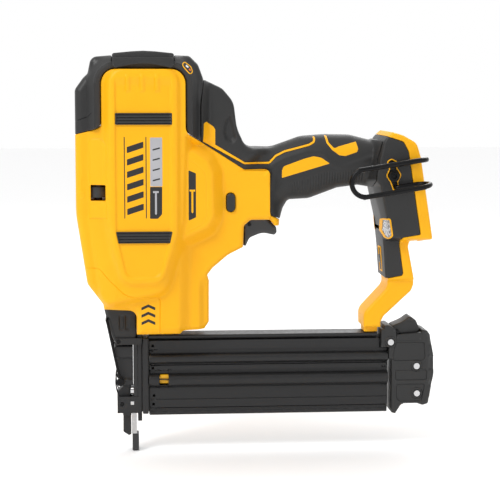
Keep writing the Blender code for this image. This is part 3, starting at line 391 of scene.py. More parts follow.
def crease_lines():
    """The lines that the casing's triangles follow, so that every fold stays crisp."""
    fold = (-2.4, -1.2, -0.4, 0.4, 1.3, 2.6, 4.0)
    seam = (-0.55, -0.3, 0, 0.3, 0.55)
    return [
        (rounded(FRONT_BLOCK), True, (-7, -4, -1.5, -0.5, 0.5, 1.5)),
        (rounded(SHOULDER), True, (-6.5, -4.5, -2, -0.8, 0, 0.8)),
        (rounded(CREST), True, (-6.5, -5, -3, -1.2, -0.4, 0.4, 1.2)),
        (rounded(PANEL), True, (-8.5, -6.5, -3, -1, -0.3, 0.4)),
        (rounded(HUMP_LEVEL), True, fold[:5]),
        (rounded(FOOT_LEVEL), True, fold),
        (rounded(RECESS), True, (-0.6, -0.2, 0.4, 1.0, 1.6)),
        (rounded(WINDOW_BLOCK), True, (-0.1, 0.3, 0.7, 1.1)),
        (rounded(SHROUD_SEAM, closed=False), False, seam),
        (rounded(PANEL_LINE, closed=False), False, seam),
        (rounded(LOWER_BAND, closed=False), False, (-0.7, -0.3, 0, 0.3)),
        (rounded(ICON_STEM, closed=False), False, seam),
        (circle(*ICON_CENTRE, ICON_RADIUS), True, seam),
    ] + [(np.array([(rib + side, 277), (rib + side, 291)]), False, (-0.3, 0.3, 1.0))
         for rib in RIBS_X for side in (-2.1, 1.4)]


def along(outline, first, last):
    """The corners of an outline from one of its corners to another, in either direction."""
    places = [corner[:2] for corner in outline]
    start, end = places.index(first), places.index(last)
    way = 1 if end >= start else -1
    return [outline[k] for k in range(start, end + way, way)]


HEAD = [
    (-43.6, 245.4, 0.6),
    *along(BODY, (-43.6, 186), (-23.4, 113.6)), *along(BODY, (-17.5, 113.2), (110.1, 175.4)),
    (110.6, 180.2, 1), (103.6, 183.3, 1.5), (102.75, 186, 2), (102.75, 218.76, 4), (83.05, 218.76, 3),
    (50.2, 239.76, 1), (38.5, 246.8, 8), (38.5, 294, 11), (-24, 294, 11), (-24, 250.8, 6), (-31, 248.6, 6),
]
FOOT = [
    (194.4, 134.2, 0.2), (205.2, 136.2, 0.6), (206.2, 138, 1), (203, 160, 2), (203.2, 166.6, 2),
    (217.3, 168.8, 1), (207.5, 232, 6), (203.6, 239.6, 5), (191.4, 243.6, 0.3),
    *along(BODY, (195.2, 246.8), (194.6, 127.2)), (194.3, 133.6, 0.3),
]


def new_material(name):
    made = bpy.data.materials.new(name)
    made.use_nodes = True
    return made, made.node_tree, made.node_tree.nodes["Principled BSDF"]


def node(tree, kind, **settings):
    made = tree.nodes.new(kind)
    for key, value in settings.items():
        if key in made.inputs:
            made.inputs[key].default_value = value
        else:
            setattr(made, key, value)
    return made


def group(name, inputs, outputs):
    tree = bpy.data.node_groups.new(name, "ShaderNodeTree")
    for label, kind, value in inputs:
        tree.interface.new_socket(label, in_out="INPUT", socket_type=kind).default_value = value
    for label, kind in outputs:
        tree.interface.new_socket(label, in_out="OUTPUT", socket_type=kind)
    return tree, tree.nodes.new("NodeGroupInput"), tree.nodes.new("NodeGroupOutput")


def mixed(tree, factor, first, second):
    """A colour mix; each of factor, first and second is a socket or a plain value."""
    mix = tree.nodes.new("ShaderNodeMix")
    mix.data_type = "RGBA"
    for socket, value in ((mix.inputs[0], factor), (mix.inputs[6], first), (mix.inputs[7], second)):
        if isinstance(value, bpy.types.NodeSocket):
            tree.links.new(value, socket)
        elif isinstance(value, tuple):
            socket.default_value = (*value, 1)
        else:
            socket.default_value = value
    return mix.outputs[2]


def reading(tree, value, low, high, to_low=0.0, to_high=1.0):
    """A value brought from one range to another, clamped."""
    scale = tree.nodes.new("ShaderNodeMapRange")
    tree.links.new(value, scale.inputs[0])
    for k, number in enumerate((low, high, to_low, to_high), start=1):
        scale.inputs[k].default_value = number
    return scale.outputs[0]


def spark_grain():
    """The fine texture that a spark-eroded mould leaves: grain height, and a slow mottle in colour."""
    tree, into, out = group(
        "spark_grain",
        [("Size", "NodeSocketFloat", 900.0)],
        [("Height", "NodeSocketFloat"), ("Mottle", "NodeSocketFloat")],
    )
    place = node(tree, "ShaderNodeTexCoord")
    grain = node(tree, "ShaderNodeTexNoise", Detail=3.0, Roughness=0.62)
    cells = node(tree, "ShaderNodeTexVoronoi", feature="SMOOTH_F1")
    slow = node(tree, "ShaderNodeTexNoise", Scale=34.0, Detail=4.0, Roughness=0.6)
    for texture in (grain, cells, slow):
        tree.links.new(place.outputs["Object"], texture.inputs["Vector"])
    tree.links.new(into.outputs["Size"], grain.inputs["Scale"])
    tree.links.new(into.outputs["Size"], cells.inputs["Scale"])
    add = node(tree, "ShaderNodeMath", operation="ADD")
    tree.links.new(grain.outputs["Fac"], add.inputs[0])
    tree.links.new(cells.outputs["Distance"], add.inputs[1])
    tree.links.new(add.outputs[0], out.inputs["Height"])
    tree.links.new(reading(tree, slow.outputs["Fac"], 0.3, 0.7), out.inputs["Mottle"])
    return tree


def edge_highlight_mask():
    """A mask of the outer edges and corners, where a painted highlight lightens a moulding."""
    tree, into, out = group(
        "edge_highlight_mask",
        [("From", "NodeSocketFloat", 0.52), ("To", "NodeSocketFloat", 0.62)],
        [("Mask", "NodeSocketFloat")],
    )
    shape = node(tree, "ShaderNodeNewGeometry")
    scale = tree.nodes.new("ShaderNodeMapRange")
    tree.links.new(shape.outputs["Pointiness"], scale.inputs[0])
    tree.links.new(into.outputs["From"], scale.inputs[1])
    tree.links.new(into.outputs["To"], scale.inputs[2])
    tree.links.new(scale.outputs[0], out.inputs["Mask"])
    return tree


SPARK_GRAIN = spark_grain()
EDGE_HIGHLIGHT_MASK = edge_highlight_mask()


def moulded(name, colour, dark, light, roughness, size, depth, coat=0.0, shine=0.5):
    """A moulded plastic: dark is the mottle, light the painted highlight on its outer edges, size and depth
    the grain's.
    """
    made, tree, shader = new_material(name)
    grain = node(tree, "ShaderNodeGroup", node_tree=SPARK_GRAIN)
    grain.inputs["Size"].default_value = size
    # Painted highlight: convex edges and corners are blended towards the light colour.
    edges = node(tree, "ShaderNodeGroup", node_tree=EDGE_HIGHLIGHT_MASK)
    body = mixed(tree, grain.outputs["Mottle"], dark, colour)
    body = mixed(tree, edges.outputs["Mask"], body, light)
    tree.links.new(body, shader.inputs["Base Color"])
    rough = reading(tree, grain.outputs["Mottle"], 0, 1, roughness - 0.03, roughness + 0.04)
    tree.links.new(rough, shader.inputs["Roughness"])
    bump = node(tree, "ShaderNodeBump", Strength=0.35, Distance=depth)
    tree.links.new(grain.outputs["Height"], bump.inputs["Height"])
    tree.links.new(bump.outputs["Normal"], shader.inputs["Normal"])
    shader.inputs["Coat Weight"].default_value = coat
    shader.inputs["Coat Roughness"].default_value = 0.3
    shader.inputs["Specular IOR Level"].default_value = shine
    return made


yellow_nylon = moulded(
    "yellow_nylon", (0.90, 0.43, 0.0008), (0.88, 0.41, 0.0006), (0.93, 0.47, 0.004),
    roughness=0.46, size=1500.0, depth=0.00003, shine=0.3,
)

HOOK_CENTRE = (196.0, 213.5)
FOOT_TILT = math.radians(9.2)
DOCK_HALF = 24.5
DOCK_FLOOR = 11.0
DOCK_ROOF = 19.0


def foot_point(u, v):
    """A sharp corner in the leaning foot: u back across it and v up along it, from the hook's screw."""
    across, up = math.cos(FOOT_TILT), math.sin(FOOT_TILT)
    return HOOK_CENTRE[0] + u * across - v * up, HOOK_CENTRE[1] + u * up + v * across, 0


def head_back(points):
    """Where the head's walls end: at the middle, or beside the slots for nose, rail and trigger."""
    x, z = points[:, 0], points[:, 1]
    back = np.where((z < 116) & (x < 60), 13.0, PARTING)
    return np.where((x > 82) & (z < 181), 9.8, back)


def foot_back(points):
    """Where the foot's walls end: at the middle, or beside the battery dock."""
    x, z = points[:, 0] - HOOK_CENTRE[0], points[:, 1] - HOOK_CENTRE[1]
    across, up = math.cos(FOOT_TILT), math.sin(FOOT_TILT)
    in_dock = (x * across + z * up > DOCK_FLOOR) & (z * across - x * up < DOCK_ROOF)
    return np.where(in_dock, DOCK_HALF, PARTING)


head = relief(HEAD, yellow_half, head_back, creases=crease_lines(), holes=[WINDOW, LOCK_HOLE])
dock_edge = ((DOCK_FLOOR, -60), (DOCK_FLOOR, DOCK_ROOF), (30, DOCK_ROOF))
dock_edge = np.array([foot_point(u, v)[:2] for u, v in dock_edge])
foot = relief(FOOT, body_half, foot_back, creases=[(dock_edge, False, (-0.3, 0.3))], closed_back=True)


def foot_block(near, far, low, high):
    """A rectangle in the leaning foot, from one depth in from its front to another."""
    return [foot_point(near, low), foot_point(far, low), foot_point(far, high), foot_point(near, high)]


dock_floor = relief(foot_block(4, DOCK_FLOOR - 0.1, -49, 21), DOCK_HALF + 0.3, rim=0, spacing=4)
rails = [
    relief(foot_block(near, far, -48, 14), DOCK_HALF + 0.5, DOCK_HALF - 2.2, rim=0, spacing=3,
           closed_back=True)
    for near, far in ((12.9, 14.9), (18.4, 20.2))
]
tongue = [(177.6, 91.4, 0.5), (188, 91.4, 0.5), (188, 97, 0), (177.6, 97, 0)]
casing = joined(head, foot, dock_floor, *rails, relief(tongue, 9, spacing=3))
pair("casing", casing, yellow_nylon, "housing")


# ------------------------------------------------------------------ soft grip
# Black rubber moulded over the handle and the hump behind the head, 0.3 mm proud of the yellow. Fine
# ribs run down the palm side, a soft ridge sweeps over them, and the thumb has a scoop in the hump.
GRIP = [
    (50.5, 239.8, 0.5), (50.5, 268, 10), (52.5, 286.4, 1), *along(BODY, (66.6, 279.8), (181, 240.4)),
    (188.0, 240.5, 1), (184.1, 226, 6), (182.9, 212, 2), (182.0, 204.1, 1),
    *along(BODY, (172, 205.6), (114, 188)), (110.9, 180.7, 1), (109, 181.7, 1), (103.9, 183.6, 1.5),
    (102.8, 186, 2), (102.8, 218.8, 4), (83.1, 218.8, 3),
]
ACCENT = [
    (52.2, 240.6, 0), (83.4, 223.4, 2.5), (102.6, 223.4, 3), (107.6, 228.6, 4), (114.5, 232, 5),
    (133.4, 237, 5), (137.6, 239.4, 3), (137.4, 243.6, 0),
]
SCOOP = [(72.9, 262.5, 4), (76.8, 250.7, 20), (78.4, 241.9, 6), (74.5, 237.2, 3), (68.2, 239.4, 4),
         (66, 246.3, 6), (67.4, 256, 10)]
SWEEP = [
    (103.5, 205, 0), (105.2, 221, 7), (114, 226.4, 10), (131, 231.6, 10), (143, 231.4, 8), (151, 222.6, 8),
    (159, 219.6, 8), (170, 223.4, 12), (183, 228, 0),
]
RIBBED = [
    (113, 207.5, 0), (148, 218, 6), (156, 216.5, 8), (170, 219.5, 8), (177, 219.5, 3), (177, 207.5, 3),
    (156, 207, 10), (134, 199, 10), (120, 198.4, 4),
]
RIBS_FROM = 120
RIB_PITCH = 2.1
RIB_COUNT = 28
RIB_DEPTH = 0.42
ACCENT_WIDTH = 1.5


def grip_level(points):
    """The overmould's surface before its ribs."""
    half = body_half(points) + 0.3
    half = half - 2.6 * step(inside(points, SCOOP) + 0.3, 4.5)
    sweep = distance(points, rounded(SWEEP, closed=False))
    half = half + 0.75 * (1 - step(sweep, 3.4))
    above = distance(points, rounded(ACCENT, closed=False))
    return half - 0.25 * (1 - step(above - 1.0, 1.2))


def grip_half(points):
    x = points[:, 0]
    half = grip_level(points)
    shade = step(inside(points, RIBBED), 2.0)
    half = half - RIB_DEPTH * shade * (0.5 + 0.5 * np.cos((x - RIBS_FROM) * 2 * math.pi / RIB_PITCH))
    line = distance(points, rounded(ACCENT, closed=False))
    return half - 0.4 * (1 - step(line - ACCENT_WIDTH / 2, 0.3))


rib_lines = []
for k in range(RIB_COUNT):
    for share in (0, 0.25, 0.5, 0.75):
        at = RIBS_FROM + RIB_PITCH * k + RIB_PITCH * share
        rib_lines.append((np.array([(at, 196), (at, 221)]), False, (0,)))
grip_creases = crease_lines()[3:6] + [
    (rounded(ACCENT, closed=False), False, (-1.3, -0.9, -0.7, 0, 0.7, 0.9, 1.3)),
    (rounded(SWEEP, closed=False), False, (-2.6, -1.2, 0, 1.2, 2.6)),
    (rounded(SCOOP), True, (-0.3, 1, 2.4, 4.2)),
] + rib_lines
black_rubber = moulded(
    "black_rubber", (0.015, 0.0149, 0.0147), (0.012, 0.012, 0.012), (0.026, 0.0255, 0.0255),
    roughness=0.56, size=1100.0, depth=0.00005,
)
grip = relief(GRIP, grip_half, creases=grip_creases)
pair("grip", grip, black_rubber, "grip")


# ------------------------------------------------------------------ yellow lines and inlays in the grip
# Islands of the yellow nylon core that stand up through windows in the rubber and end flush with it.
def flat_corners(points):
    return [(x, z, 0) for x, z in points]


def accent_outline():
    """The accent line with its tab behind the cap, as one closed outline."""
    path = rounded(ACCENT, closed=False)
    lower = beside(path, -ACCENT_WIDTH / 2, closed=False)
    upper = beside(path, ACCENT_WIDTH / 2, closed=False)[::-1]
    upper = upper[upper[:, 0] > 61.6]
    tab = [(61.2, 249.2, 1.2), (59.6, 251.4, 0.8), (54.4, 255, 1), (52.3, 253.6, 0.8)]
    return flat_corners(lower) + flat_corners(upper) + [(61.2, 237.6, 0.3)] + tab


PALM_INLAY = [(112.2, 211.8, 0.5), (149, 222.7, 0.4), (142.5, 227.2, 5), (136.5, 228.4, 5),
              (129.5, 226.6, 10), (113.6, 220.8, 2), (112.2, 217.5, 1.5)]
HEEL_INLAY = [
    (145.4, 244.3, 0), (146.5, 238.2, 3), (150.6, 233.0, 4), (156.0, 229.0, 3), (160.8, 228.3, 3),
    (169.8, 231.3, 1.4), (170.9, 233.8, 0.6), (169.4, 239.4, 0.5), (156, 235.8, 1), (152.4, 234.2, 2),
    (148.2, 238.8, 3), (147.2, 244.3, 0),
]
TAB_MARK = [(55, 242.6, 0.8), (58.4, 242.6, 0.8), (58.4, 248.6, 0.8), (55, 250.4, 0.8)]


def inlay_half(points):
    mark = np.abs(distance(points, rounded(TAB_MARK), closed=True))
    body = inside(points, BODY)
    return grip_level(points) + 0.12 + 0.12 * (1 - step(mark - 0.25, 0.3)) - 40 * step(0.5 - body, 0.5)


inlays = {"accent_line": accent_outline(), "palm_inlay": PALM_INLAY, "heel_inlay": HEEL_INLAY}
for name, corners in inlays.items():
    inlay = relief(corners, inlay_half, lambda points: grip_level(points) - 1.6, rim=0.25, spacing=0.7)
    inlay[0][:, 1] = np.minimum(inlay[0][:, 1], -PARTING)
    pair(name, inlay, yellow_nylon)


# ------------------------------------------------------------------ top cap and bumper
# A hard black nylon cap over the end of the drive, with a ridge round the yellow boss and a step down to
# its nose, screwed on from above. The bumper on it is a rubber pad that the tool can be stood on.
CAP = [
    (-43.5, 245.7, 0.5), (-43.5, 278.8, 6), (-37.4, 287.3, 5), (-33.9, 290.7, 3), (-31.3, 303, 6),
    (-15.9, 304.2, 1), (-15.9, 299.6, 0), (30.4, 299.6, 0), (30.4, 304.2, 1), (41.8, 303.9, 4),
    (48.2, 297.6, 8), (52.2, 286.6, 1), (50.2, 268, 10), (50.2, 240.1, 0.5), (38.9, 247.2, 8),
    (38.9, 294.4, 11), (-24.4, 294.4, 11), (-24.4, 250.9, 6), (-31.2, 249, 6),
]
BOSS_EDGE = [(-24.2, 230, 0), (38.7, 230, 0), (38.7, 294.2, 11), (-24.2, 294.2, 11)]
NOSE_STEP = [(-34.6, 240, 0), (-34.2, 289, 4), (-30.6, 310, 0), (60, 310, 0), (60, 240, 0)]
CAP_SEAM = [(-46, 254.4, 0), (-34.4, 258.6, 4), (-30.5, 262, 0)]
BUMPER = [(-15.6, 299.9, 0), (30.1, 299.9, 0), (30.1, 305.5, 1.8), (7.4, 307.8, 90), (-15.6, 305.5, 1.8)]
BUMPER_APRON = [
    (-15.6, 296.4, 1.2), (-13.4, 294.6, 1.5), (7.5, 298.4, 60), (27.8, 294.6, 1.5), (30.1, 296.4, 1.2),
    (30.1, 303, 1), (-15.6, 303, 1),
]


def cap_half(points):
    out = -inside(points, BOSS_EDGE)
    ridge = 37.2 - 0.42 * np.clip(4.2 - out, 0, 4.2) - 1.22 * np.clip(out - 5.0, 0, 20)
    ridge = ridge - quarter(inside(points, BODY), 3.5)
    half = np.minimum(body_half(points), 31.2 - quarter(inside(points, BODY), 4.5))
    half = np.where(inside(points, NOSE_STEP) > 0, smooth_max(half, ridge, 1.5), half)
    seam = distance(points, rounded(CAP_SEAM, closed=False))
    return half - 0.4 * (1 - step(seam - 0.1, 0.3))


cap_creases = [
    (rounded(NOSE_STEP), True, (-0.25, 0.25, 1.0)),
    (rounded(BOSS_EDGE), True, (-1.6, -3.0, -4.2, -5.0, -6, -8)),
    (rounded(CAP_SEAM, closed=False), False, (-0.4, -0.1, 0.1, 0.4)),
]
black_nylon = moulded(
    "black_nylon", (0.0135, 0.0134, 0.0132), (0.011, 0.011, 0.011), (0.025, 0.025, 0.025),
    roughness=0.44, size=1500.0, depth=0.00003,
)
cap = relief(CAP, cap_half, creases=cap_creases, rim=0.7)
piece("top_cap", both(cap), black_nylon, replaces=["top_cap"])


def whole(corners, half, rim=0.5, spacing=1.2, creases=()):
    """A moulding whose two sides mirror each other about the middle plane."""
    return both(relief(corners, half, 0, rim, spacing, creases))


bumper = joined(whole(BUMPER, 38.4, rim=1.6), both(relief(BUMPER_APRON, 39.6, 36.5, rim=1.2)))
piece("top_bumper", bumper, black_rubber, replaces=["top_bumper"])


# ------------------------------------------------------------------ foot panels, lamp and selector
# A black skin of hard rubber laid over each side of the foot and wrapped round its front edge. It has a
# keyhole for the belt hook, a lamp behind a faceted lens in a yellow bezel, and the mode selector in front.
FOOT_PANEL = [
    (182.5, 204.1, 1), (183.4, 212, 2), (184.5, 226, 6), (188.6, 240.4, 1), (191.4, 243.4, 0.5),
    (203.4, 239.3, 5), (207.2, 231.8, 6), (216.9, 169, 1), (203.0, 166.8, 2), (202.7, 160, 2),
    (205.9, 138.2, 1), (205, 136.5, 0.6), (194.2, 134.6, 0.3), (192.3, 134.5, 0.5), (190.7, 158, 6),
    (188.3, 181, 20),
]
KEYHOLE = [
    (191.6, 224.4, 1), (194.2, 226, 1), (197.7, 224.2, 1), (197.8, 219.6, 1), (201, 214.4, 2),
    (198.4, 209.4, 1), (199.5, 204.6, 1), (196.5, 202.8, 1), (194.2, 209.2, 1), (191.1, 213.9, 2),
    (193.3, 219, 1),
]
LAMP = [(188.9, 180.3, 1), (193.3, 180.8, 0.8), (195.2, 168.4, 1), (193, 166.1, 0.8), (191.2, 166.7, 1),
        (189.1, 171.6, 2.5)]
STEP_LINE = [(188, 163.6, 0), (202.9, 163.6, 0)]


def wider(corners, offset):
    """The outline moved outwards by an offset."""
    return [(x, z, 0) for x, z in beside(rounded(corners), -offset)]


def panel_half(points):
    groove = distance(points, rounded(STEP_LINE, closed=False))
    return body_half(points) - 0.12 - 0.3 * (1 - step(groove - 0.1, 0.3))


def proud(height, surface=panel_half):
    """A level that follows a surface at a height above it."""
    return lambda points: surface(points) + height


dark_rubber = moulded(
    "foot_rubber", (0.015, 0.0149, 0.0147), (0.012, 0.012, 0.012), (0.027, 0.0265, 0.0265),
    roughness=0.5, size=1300.0, depth=0.00004,
)
lamp_lens, tree, shader = new_material("light_lens")
facets = node(tree, "ShaderNodeTexVoronoi", Scale=620.0, feature="F1", distance="CHEBYCHEV")
place = node(tree, "ShaderNodeTexCoord")
tree.links.new(place.outputs["Object"], facets.inputs["Vector"])
shine = reading(tree, facets.outputs["Distance"], 0.0, 0.6)
tree.links.new(mixed(tree, shine, (0.75, 0.76, 0.78), (0.16, 0.165, 0.17)), shader.inputs["Base Color"])
shader.inputs["Roughness"].default_value = 0.12
shader.inputs["Coat Weight"].default_value = 0.8
bump = node(tree, "ShaderNodeBump", Strength=0.7, Distance=0.0003)
tree.links.new(facets.outputs["Distance"], bump.inputs["Height"])
tree.links.new(bump.outputs["Normal"], shader.inputs["Normal"])

panel_creases = [(rounded(FOOT_LEVEL), True, (-3, -1.6, -0.4, 0, 0.5)),
                 (rounded(STEP_LINE, closed=False), False, (-0.3, 0, 0.3))]
panel = relief(FOOT_PANEL, panel_half, creases=panel_creases, holes=[KEYHOLE, LAMP])
slot_floor = relief(wider(KEYHOLE, 0.6), 28.6, 27.6, rim=0, spacing=2)
key_ring = relief(wider(KEYHOLE, 0.9), proud(0.16), proud(-1.5), rim=0.1, holes=[wider(KEYHOLE, 0.05)])
lamp_ring = relief(wider(LAMP, 0.8), proud(0.3), proud(-2), rim=0.2, holes=[wider(LAMP, -0.3)])
lens = relief(wider(LAMP, 0.2), proud(-1.2, body_half), proud(-3, body_half), rim=0.4, spacing=0.7)
pair("foot_panel", joined(panel, slot_floor), dark_rubber, "foot_panel")
pair("keyhole_edge", key_ring, yellow_nylon)
pair("lamp_bezel", lamp_ring, yellow_nylon)
pair("work_light", lens, lamp_lens, "work_light")
frame_bar = [(189.9, 157.4, 0.3), (191.5, 157.5, 0.3), (193.4, 138.1, 0.3), (191.8, 138, 0.3)]
bars = relief(frame_bar, 5.6, 4.7, rim=0.2, closed_back=True)
ends = []
for x, high in ((190.0, 157.5), (191.75, 139)):
    bar_end = [(x, high, 0.2), (x + 1.4, high, 0.2), (x + 1.5, high - 1, 0.2), (x + 0.1, high - 1, 0.2)]
    ends.append(whole(bar_end, 5.6))
piece("selector_frame", joined(both(bars), *ends), yellow_nylon)


# ------------------------------------------------------------------ belt hook
# Round spring-steel wire, blackened and bent in two hairpins beside the foot. Its two ends are pushed into
# the keyhole and one hex-socket screw between them holds it.
HOOK_WIRE = 1.9


def swept(path, radius, sides=14):
    """A round wire along a path of points, closed at both ends."""
    path = [Vector(point) for point in path]
    points, faces = [], []
    up = Vector((0, 0, 1))
    for k, here in enumerate(path):
        along = (path[min(k + 1, len(path) - 1)] - path[max(k - 1, 0)]).normalized()
        if k == 0 and abs(along.dot(up)) > 0.9:
            up = Vector((1, 0, 0))
        right = along.cross(up).normalized()
        up = right.cross(along).normalized()
        for n in range(sides):
            turn = 2 * math.pi * n / sides
            points.append(here + radius * (math.cos(turn) * right + math.sin(turn) * up))
    for k in range(len(path) - 1):
        for n in range(sides):
            a, b = k * sides + n, k * sides + (n + 1) % sides
            faces.append((a, b, b + sides, a + sides))
    faces.append(tuple(range(sides))[::-1])
    faces.append(tuple(range(len(points) - sides, len(points))))
    return np.array([tuple(point) for point in points]), faces


def lathe(profile, place, sides=48):
    """A turned shape on an axis across the tool: profile is (radius, height out from the middle plane)."""
    points, faces = [], []
    for radius, height in profile:
        for n in range(sides):
            turn = 2 * math.pi * n / sides
            points.append((radius * math.cos(turn), -height, radius * math.sin(turn)))
    for k in range(len(profile) - 1):
        for n in range(sides):
            a, b = k * sides + n, k * sides + (n + 1) % sides
            faces.append((a, b, b + sides, a + sides))
    return np.array(points) + place, faces


def surface_grain(name, stretched, detail):
    """Noise that follows the piece, drawn out up and down by a factor: brushing on metal, or a cast skin."""
    tree, into, out = group(name, [("Size", "NodeSocketFloat", 180.0)], [("Grain", "NodeSocketFloat")])
    place = node(tree, "ShaderNodeTexCoord")
    stretch = node(tree, "ShaderNodeMapping")
    stretch.inputs["Scale"].default_value = (1, 1, stretched)
    grain = node(tree, "ShaderNodeTexNoise", Detail=detail)
    tree.links.new(place.outputs["Object"], stretch.inputs["Vector"])
    tree.links.new(stretch.outputs["Vector"], grain.inputs["Vector"])
    tree.links.new(into.outputs["Size"], grain.inputs["Scale"])
    tree.links.new(grain.outputs["Fac"], out.inputs["Grain"])
    return tree


def grain_of(tree, kind, size):
    """The grain's value from one of the shared groups."""
    grain = node(tree, "ShaderNodeGroup", node_tree=kind)
    grain.inputs["Size"].default_value = size
    return grain.outputs["Grain"]


BRUSHED_GRAIN = surface_grain("brushed_grain", 9, 5.0)


def bright_metal(name, colour, dark, roughness, brushed=180.0, metallic=1.0):
    """A bare or blackened metal with fine brushing and darker hollows."""
    made, tree, shader = new_material(name)
    grain = grain_of(tree, BRUSHED_GRAIN, brushed)
    tree.links.new(mixed(tree, grain, dark, colour), shader.inputs["Base Color"])
    rough = reading(tree, grain, 0.3, 0.7, roughness - 0.06, roughness + 0.08)
    tree.links.new(rough, shader.inputs["Roughness"])
    shader.inputs["Metallic"].default_value = metallic
    bump = node(tree, "ShaderNodeBump", Strength=0.15, Distance=0.00004)
    tree.links.new(grain, bump.inputs["Height"])
    tree.links.new(bump.outputs["Normal"], shader.inputs["Normal"])
    return made


def smooth_path(path, per=3):
    """The points of a path with a Catmull-Rom curve drawn through them."""
    path = np.asarray(path, float)
    ends = np.concatenate([path[:1], path, path[-1:]])
    found = []
    for k in range(len(path) - 1):
        a, b, c, d = ends[k:k + 4]
        for n in range(per):
            t = n / per
            square, cube = 2 * a - 5 * b + 4 * c - d, 3 * b - a - 3 * c + d
            found.append(0.5 * (2 * b + (c - a) * t + square * t * t + cube * t ** 3))
    found.append(path[-1])
    return np.array(found)


def hook_path():
    """The bent wire: out of the slot, back past the foot, round a hairpin and along the outer loop."""
    near, far = -33.9, -51.5
    inner, outer, rear, front = 8.6, 10.2, 15.5, -25.0
    bend = (near - far) / 2
    lower = [(0, -inner, near + 4.5), (0.6, -inner, near + 1.4), (3, -inner, near)]
    for k in range(13):
        turn = math.pi * k / 12
        out = near - bend + bend * math.cos(turn)
        lower.append((rear + bend * math.sin(turn), -inner + (inner - outer) * k / 12, out))
    for k in range(16):
        turn = math.pi * k / 32
        lower.append((front - outer * math.sin(turn), -outer * math.cos(turn), far))
    upper = [(u, -v, y) for u, v, y in reversed(lower)]
    route = lower + [(front - outer, 0, far)] + upper
    return [(foot_point(u, v)[0], y, foot_point(u, v)[1]) for u, v, y in route]


blackened_steel = bright_metal(
    "black_oxide_steel", (0.028, 0.028, 0.029), (0.014, 0.014, 0.014), roughness=0.36,
)
hook = swept(smooth_path(hook_path()), HOOK_WIRE, 18)
piece("belt_hook", hook, blackened_steel, sharp=60, replaces=["belt_hook"])
hook_screw = [
    (0.01, 32.4), (1.7, 32.4), (1.75, 33.9), (1.95, 34.15), (3.5, 34.15), (4.0, 33.9), (4.15, 33.4),
    (4.15, 31.3), (2.0, 31.3), (2.0, 28.2),
]
hook_screw = lathe(hook_screw, (HOOK_CENTRE[0], 0, HOOK_CENTRE[1]))
piece("hook_screw", hook_screw, blackened_steel, sharp=30, replaces=["hook_screw"])


# ------------------------------------------------------------------ labels and pictograms
# Thin printed foils and pad printing on the yellow, with plain pictograms only: slanted bars, a nail,
# chevrons, and the lock sign on the cap. They lie a tenth of a millimetre proud of the surface.
def foil(name, corners, material, height=0.1, holes=(), surface=yellow_half):
    shape = relief(corners, proud(height, surface), proud(-0.3, surface), rim=0.05, spacing=0.8, holes=holes)
    piece(name, shape, material)


SIDE_BARS = 6
TICKS = 4
CHEVRONS = 3


def plate(x0, x1, z0, z1, lean=0, radius=0):
    """A plate's outline with upright sides, whose top and bottom rise to the rear by lean."""
    return [(x0, z0, radius), (x1, z0 + lean, radius), (x1, z1 + lean, radius), (x0, z1, radius)]


black_print = moulded(
    "black_print", (0.013,) * 3, (0.01,) * 3, (0.02,) * 3,
    roughness=0.5, size=1800.0, depth=0.00001,
)
grey_foil = moulded(
    "grey_foil", (0.40, 0.40, 0.42), (0.36, 0.36, 0.38), (0.45, 0.45, 0.46),
    roughness=0.42, size=1600.0, depth=0.00001,
)
white_print = moulded(
    "white_print", (0.78,) * 3, (0.72,) * 3, (0.84,) * 3,
    roughness=0.5, size=1600.0, depth=0.00001,
)
orange_print = moulded(
    "orange_print", (0.85, 0.13, 0.01), (0.78, 0.11, 0.01), (0.88, 0.17, 0.02),
    roughness=0.5, size=1600.0, depth=0.00001,
)

for k in range(SIDE_BARS):
    low = 186 + 9.2 * k
    foil("side_bar_%d" % k, plate(-5.2, 7.0, low, low + 4.6, 4.0, 0.4), black_print)
for name, x0 in (("front", -7.4), ("rear", 8.6)):
    foil("side_line_" + name, plate(x0, x0 + 0.7, 183.6, 244), black_print)
foil("grey_strip", [(12, 207.3, 0.6), (20.9, 207.3, 0.6), (20.9, 243.5, 0.8), (12, 243.5, 0.8)], grey_foil)
black_strip = [(11.6, 183.2, 0.6), (17.6, 183.2, 2), (20.6, 186.6, 2), (20.8, 206.9, 0.6), (11.8, 206.9, 0.6)]
foil("black_strip", black_strip, black_print)
for k in range(TICKS):
    low = 211 + 7.6 * k
    foil("strip_tick_%d" % k, plate(13.8, 19.2, low, low + 1.1, 1.4, 0.2), black_print, 0.16)
nail = [
    (15.4, 187, 0.2), (16.1, 186, 0), (16.8, 187, 0.2), (16.8, 202.4, 0), (18.2, 202.4, 0.3),
    (18.2, 203.8, 0.3), (14.0, 203.8, 0.3), (14.0, 202.4, 0.3), (15.4, 202.4, 0),
]
foil("strip_nail", nail, grey_foil, 0.16)
for k in range(CHEVRONS):
    low = 102 + 5.6 * k
    chevron = [
        (4.8, low, 0.2), (10, low + 2.4, 0.2), (15.2, low, 0.2),
        (15.2, low + 2.2, 0.2), (10, low + 4.6, 0.2), (4.8, low + 2.2, 0.2),
    ]
    foil("chevron_%d" % k, chevron, black_print)
foil("rear_strip", [(40.6, 219, 0.6), (46.1, 216.5, 1), (46.1, 183.6, 1), (40.6, 181.1, 0.6)], black_print)
rear_nail = [(x + 27.3, z + 0.6, radius) for x, z, radius in nail]
foil("rear_nail", rear_nail, yellow_nylon, 0.16)

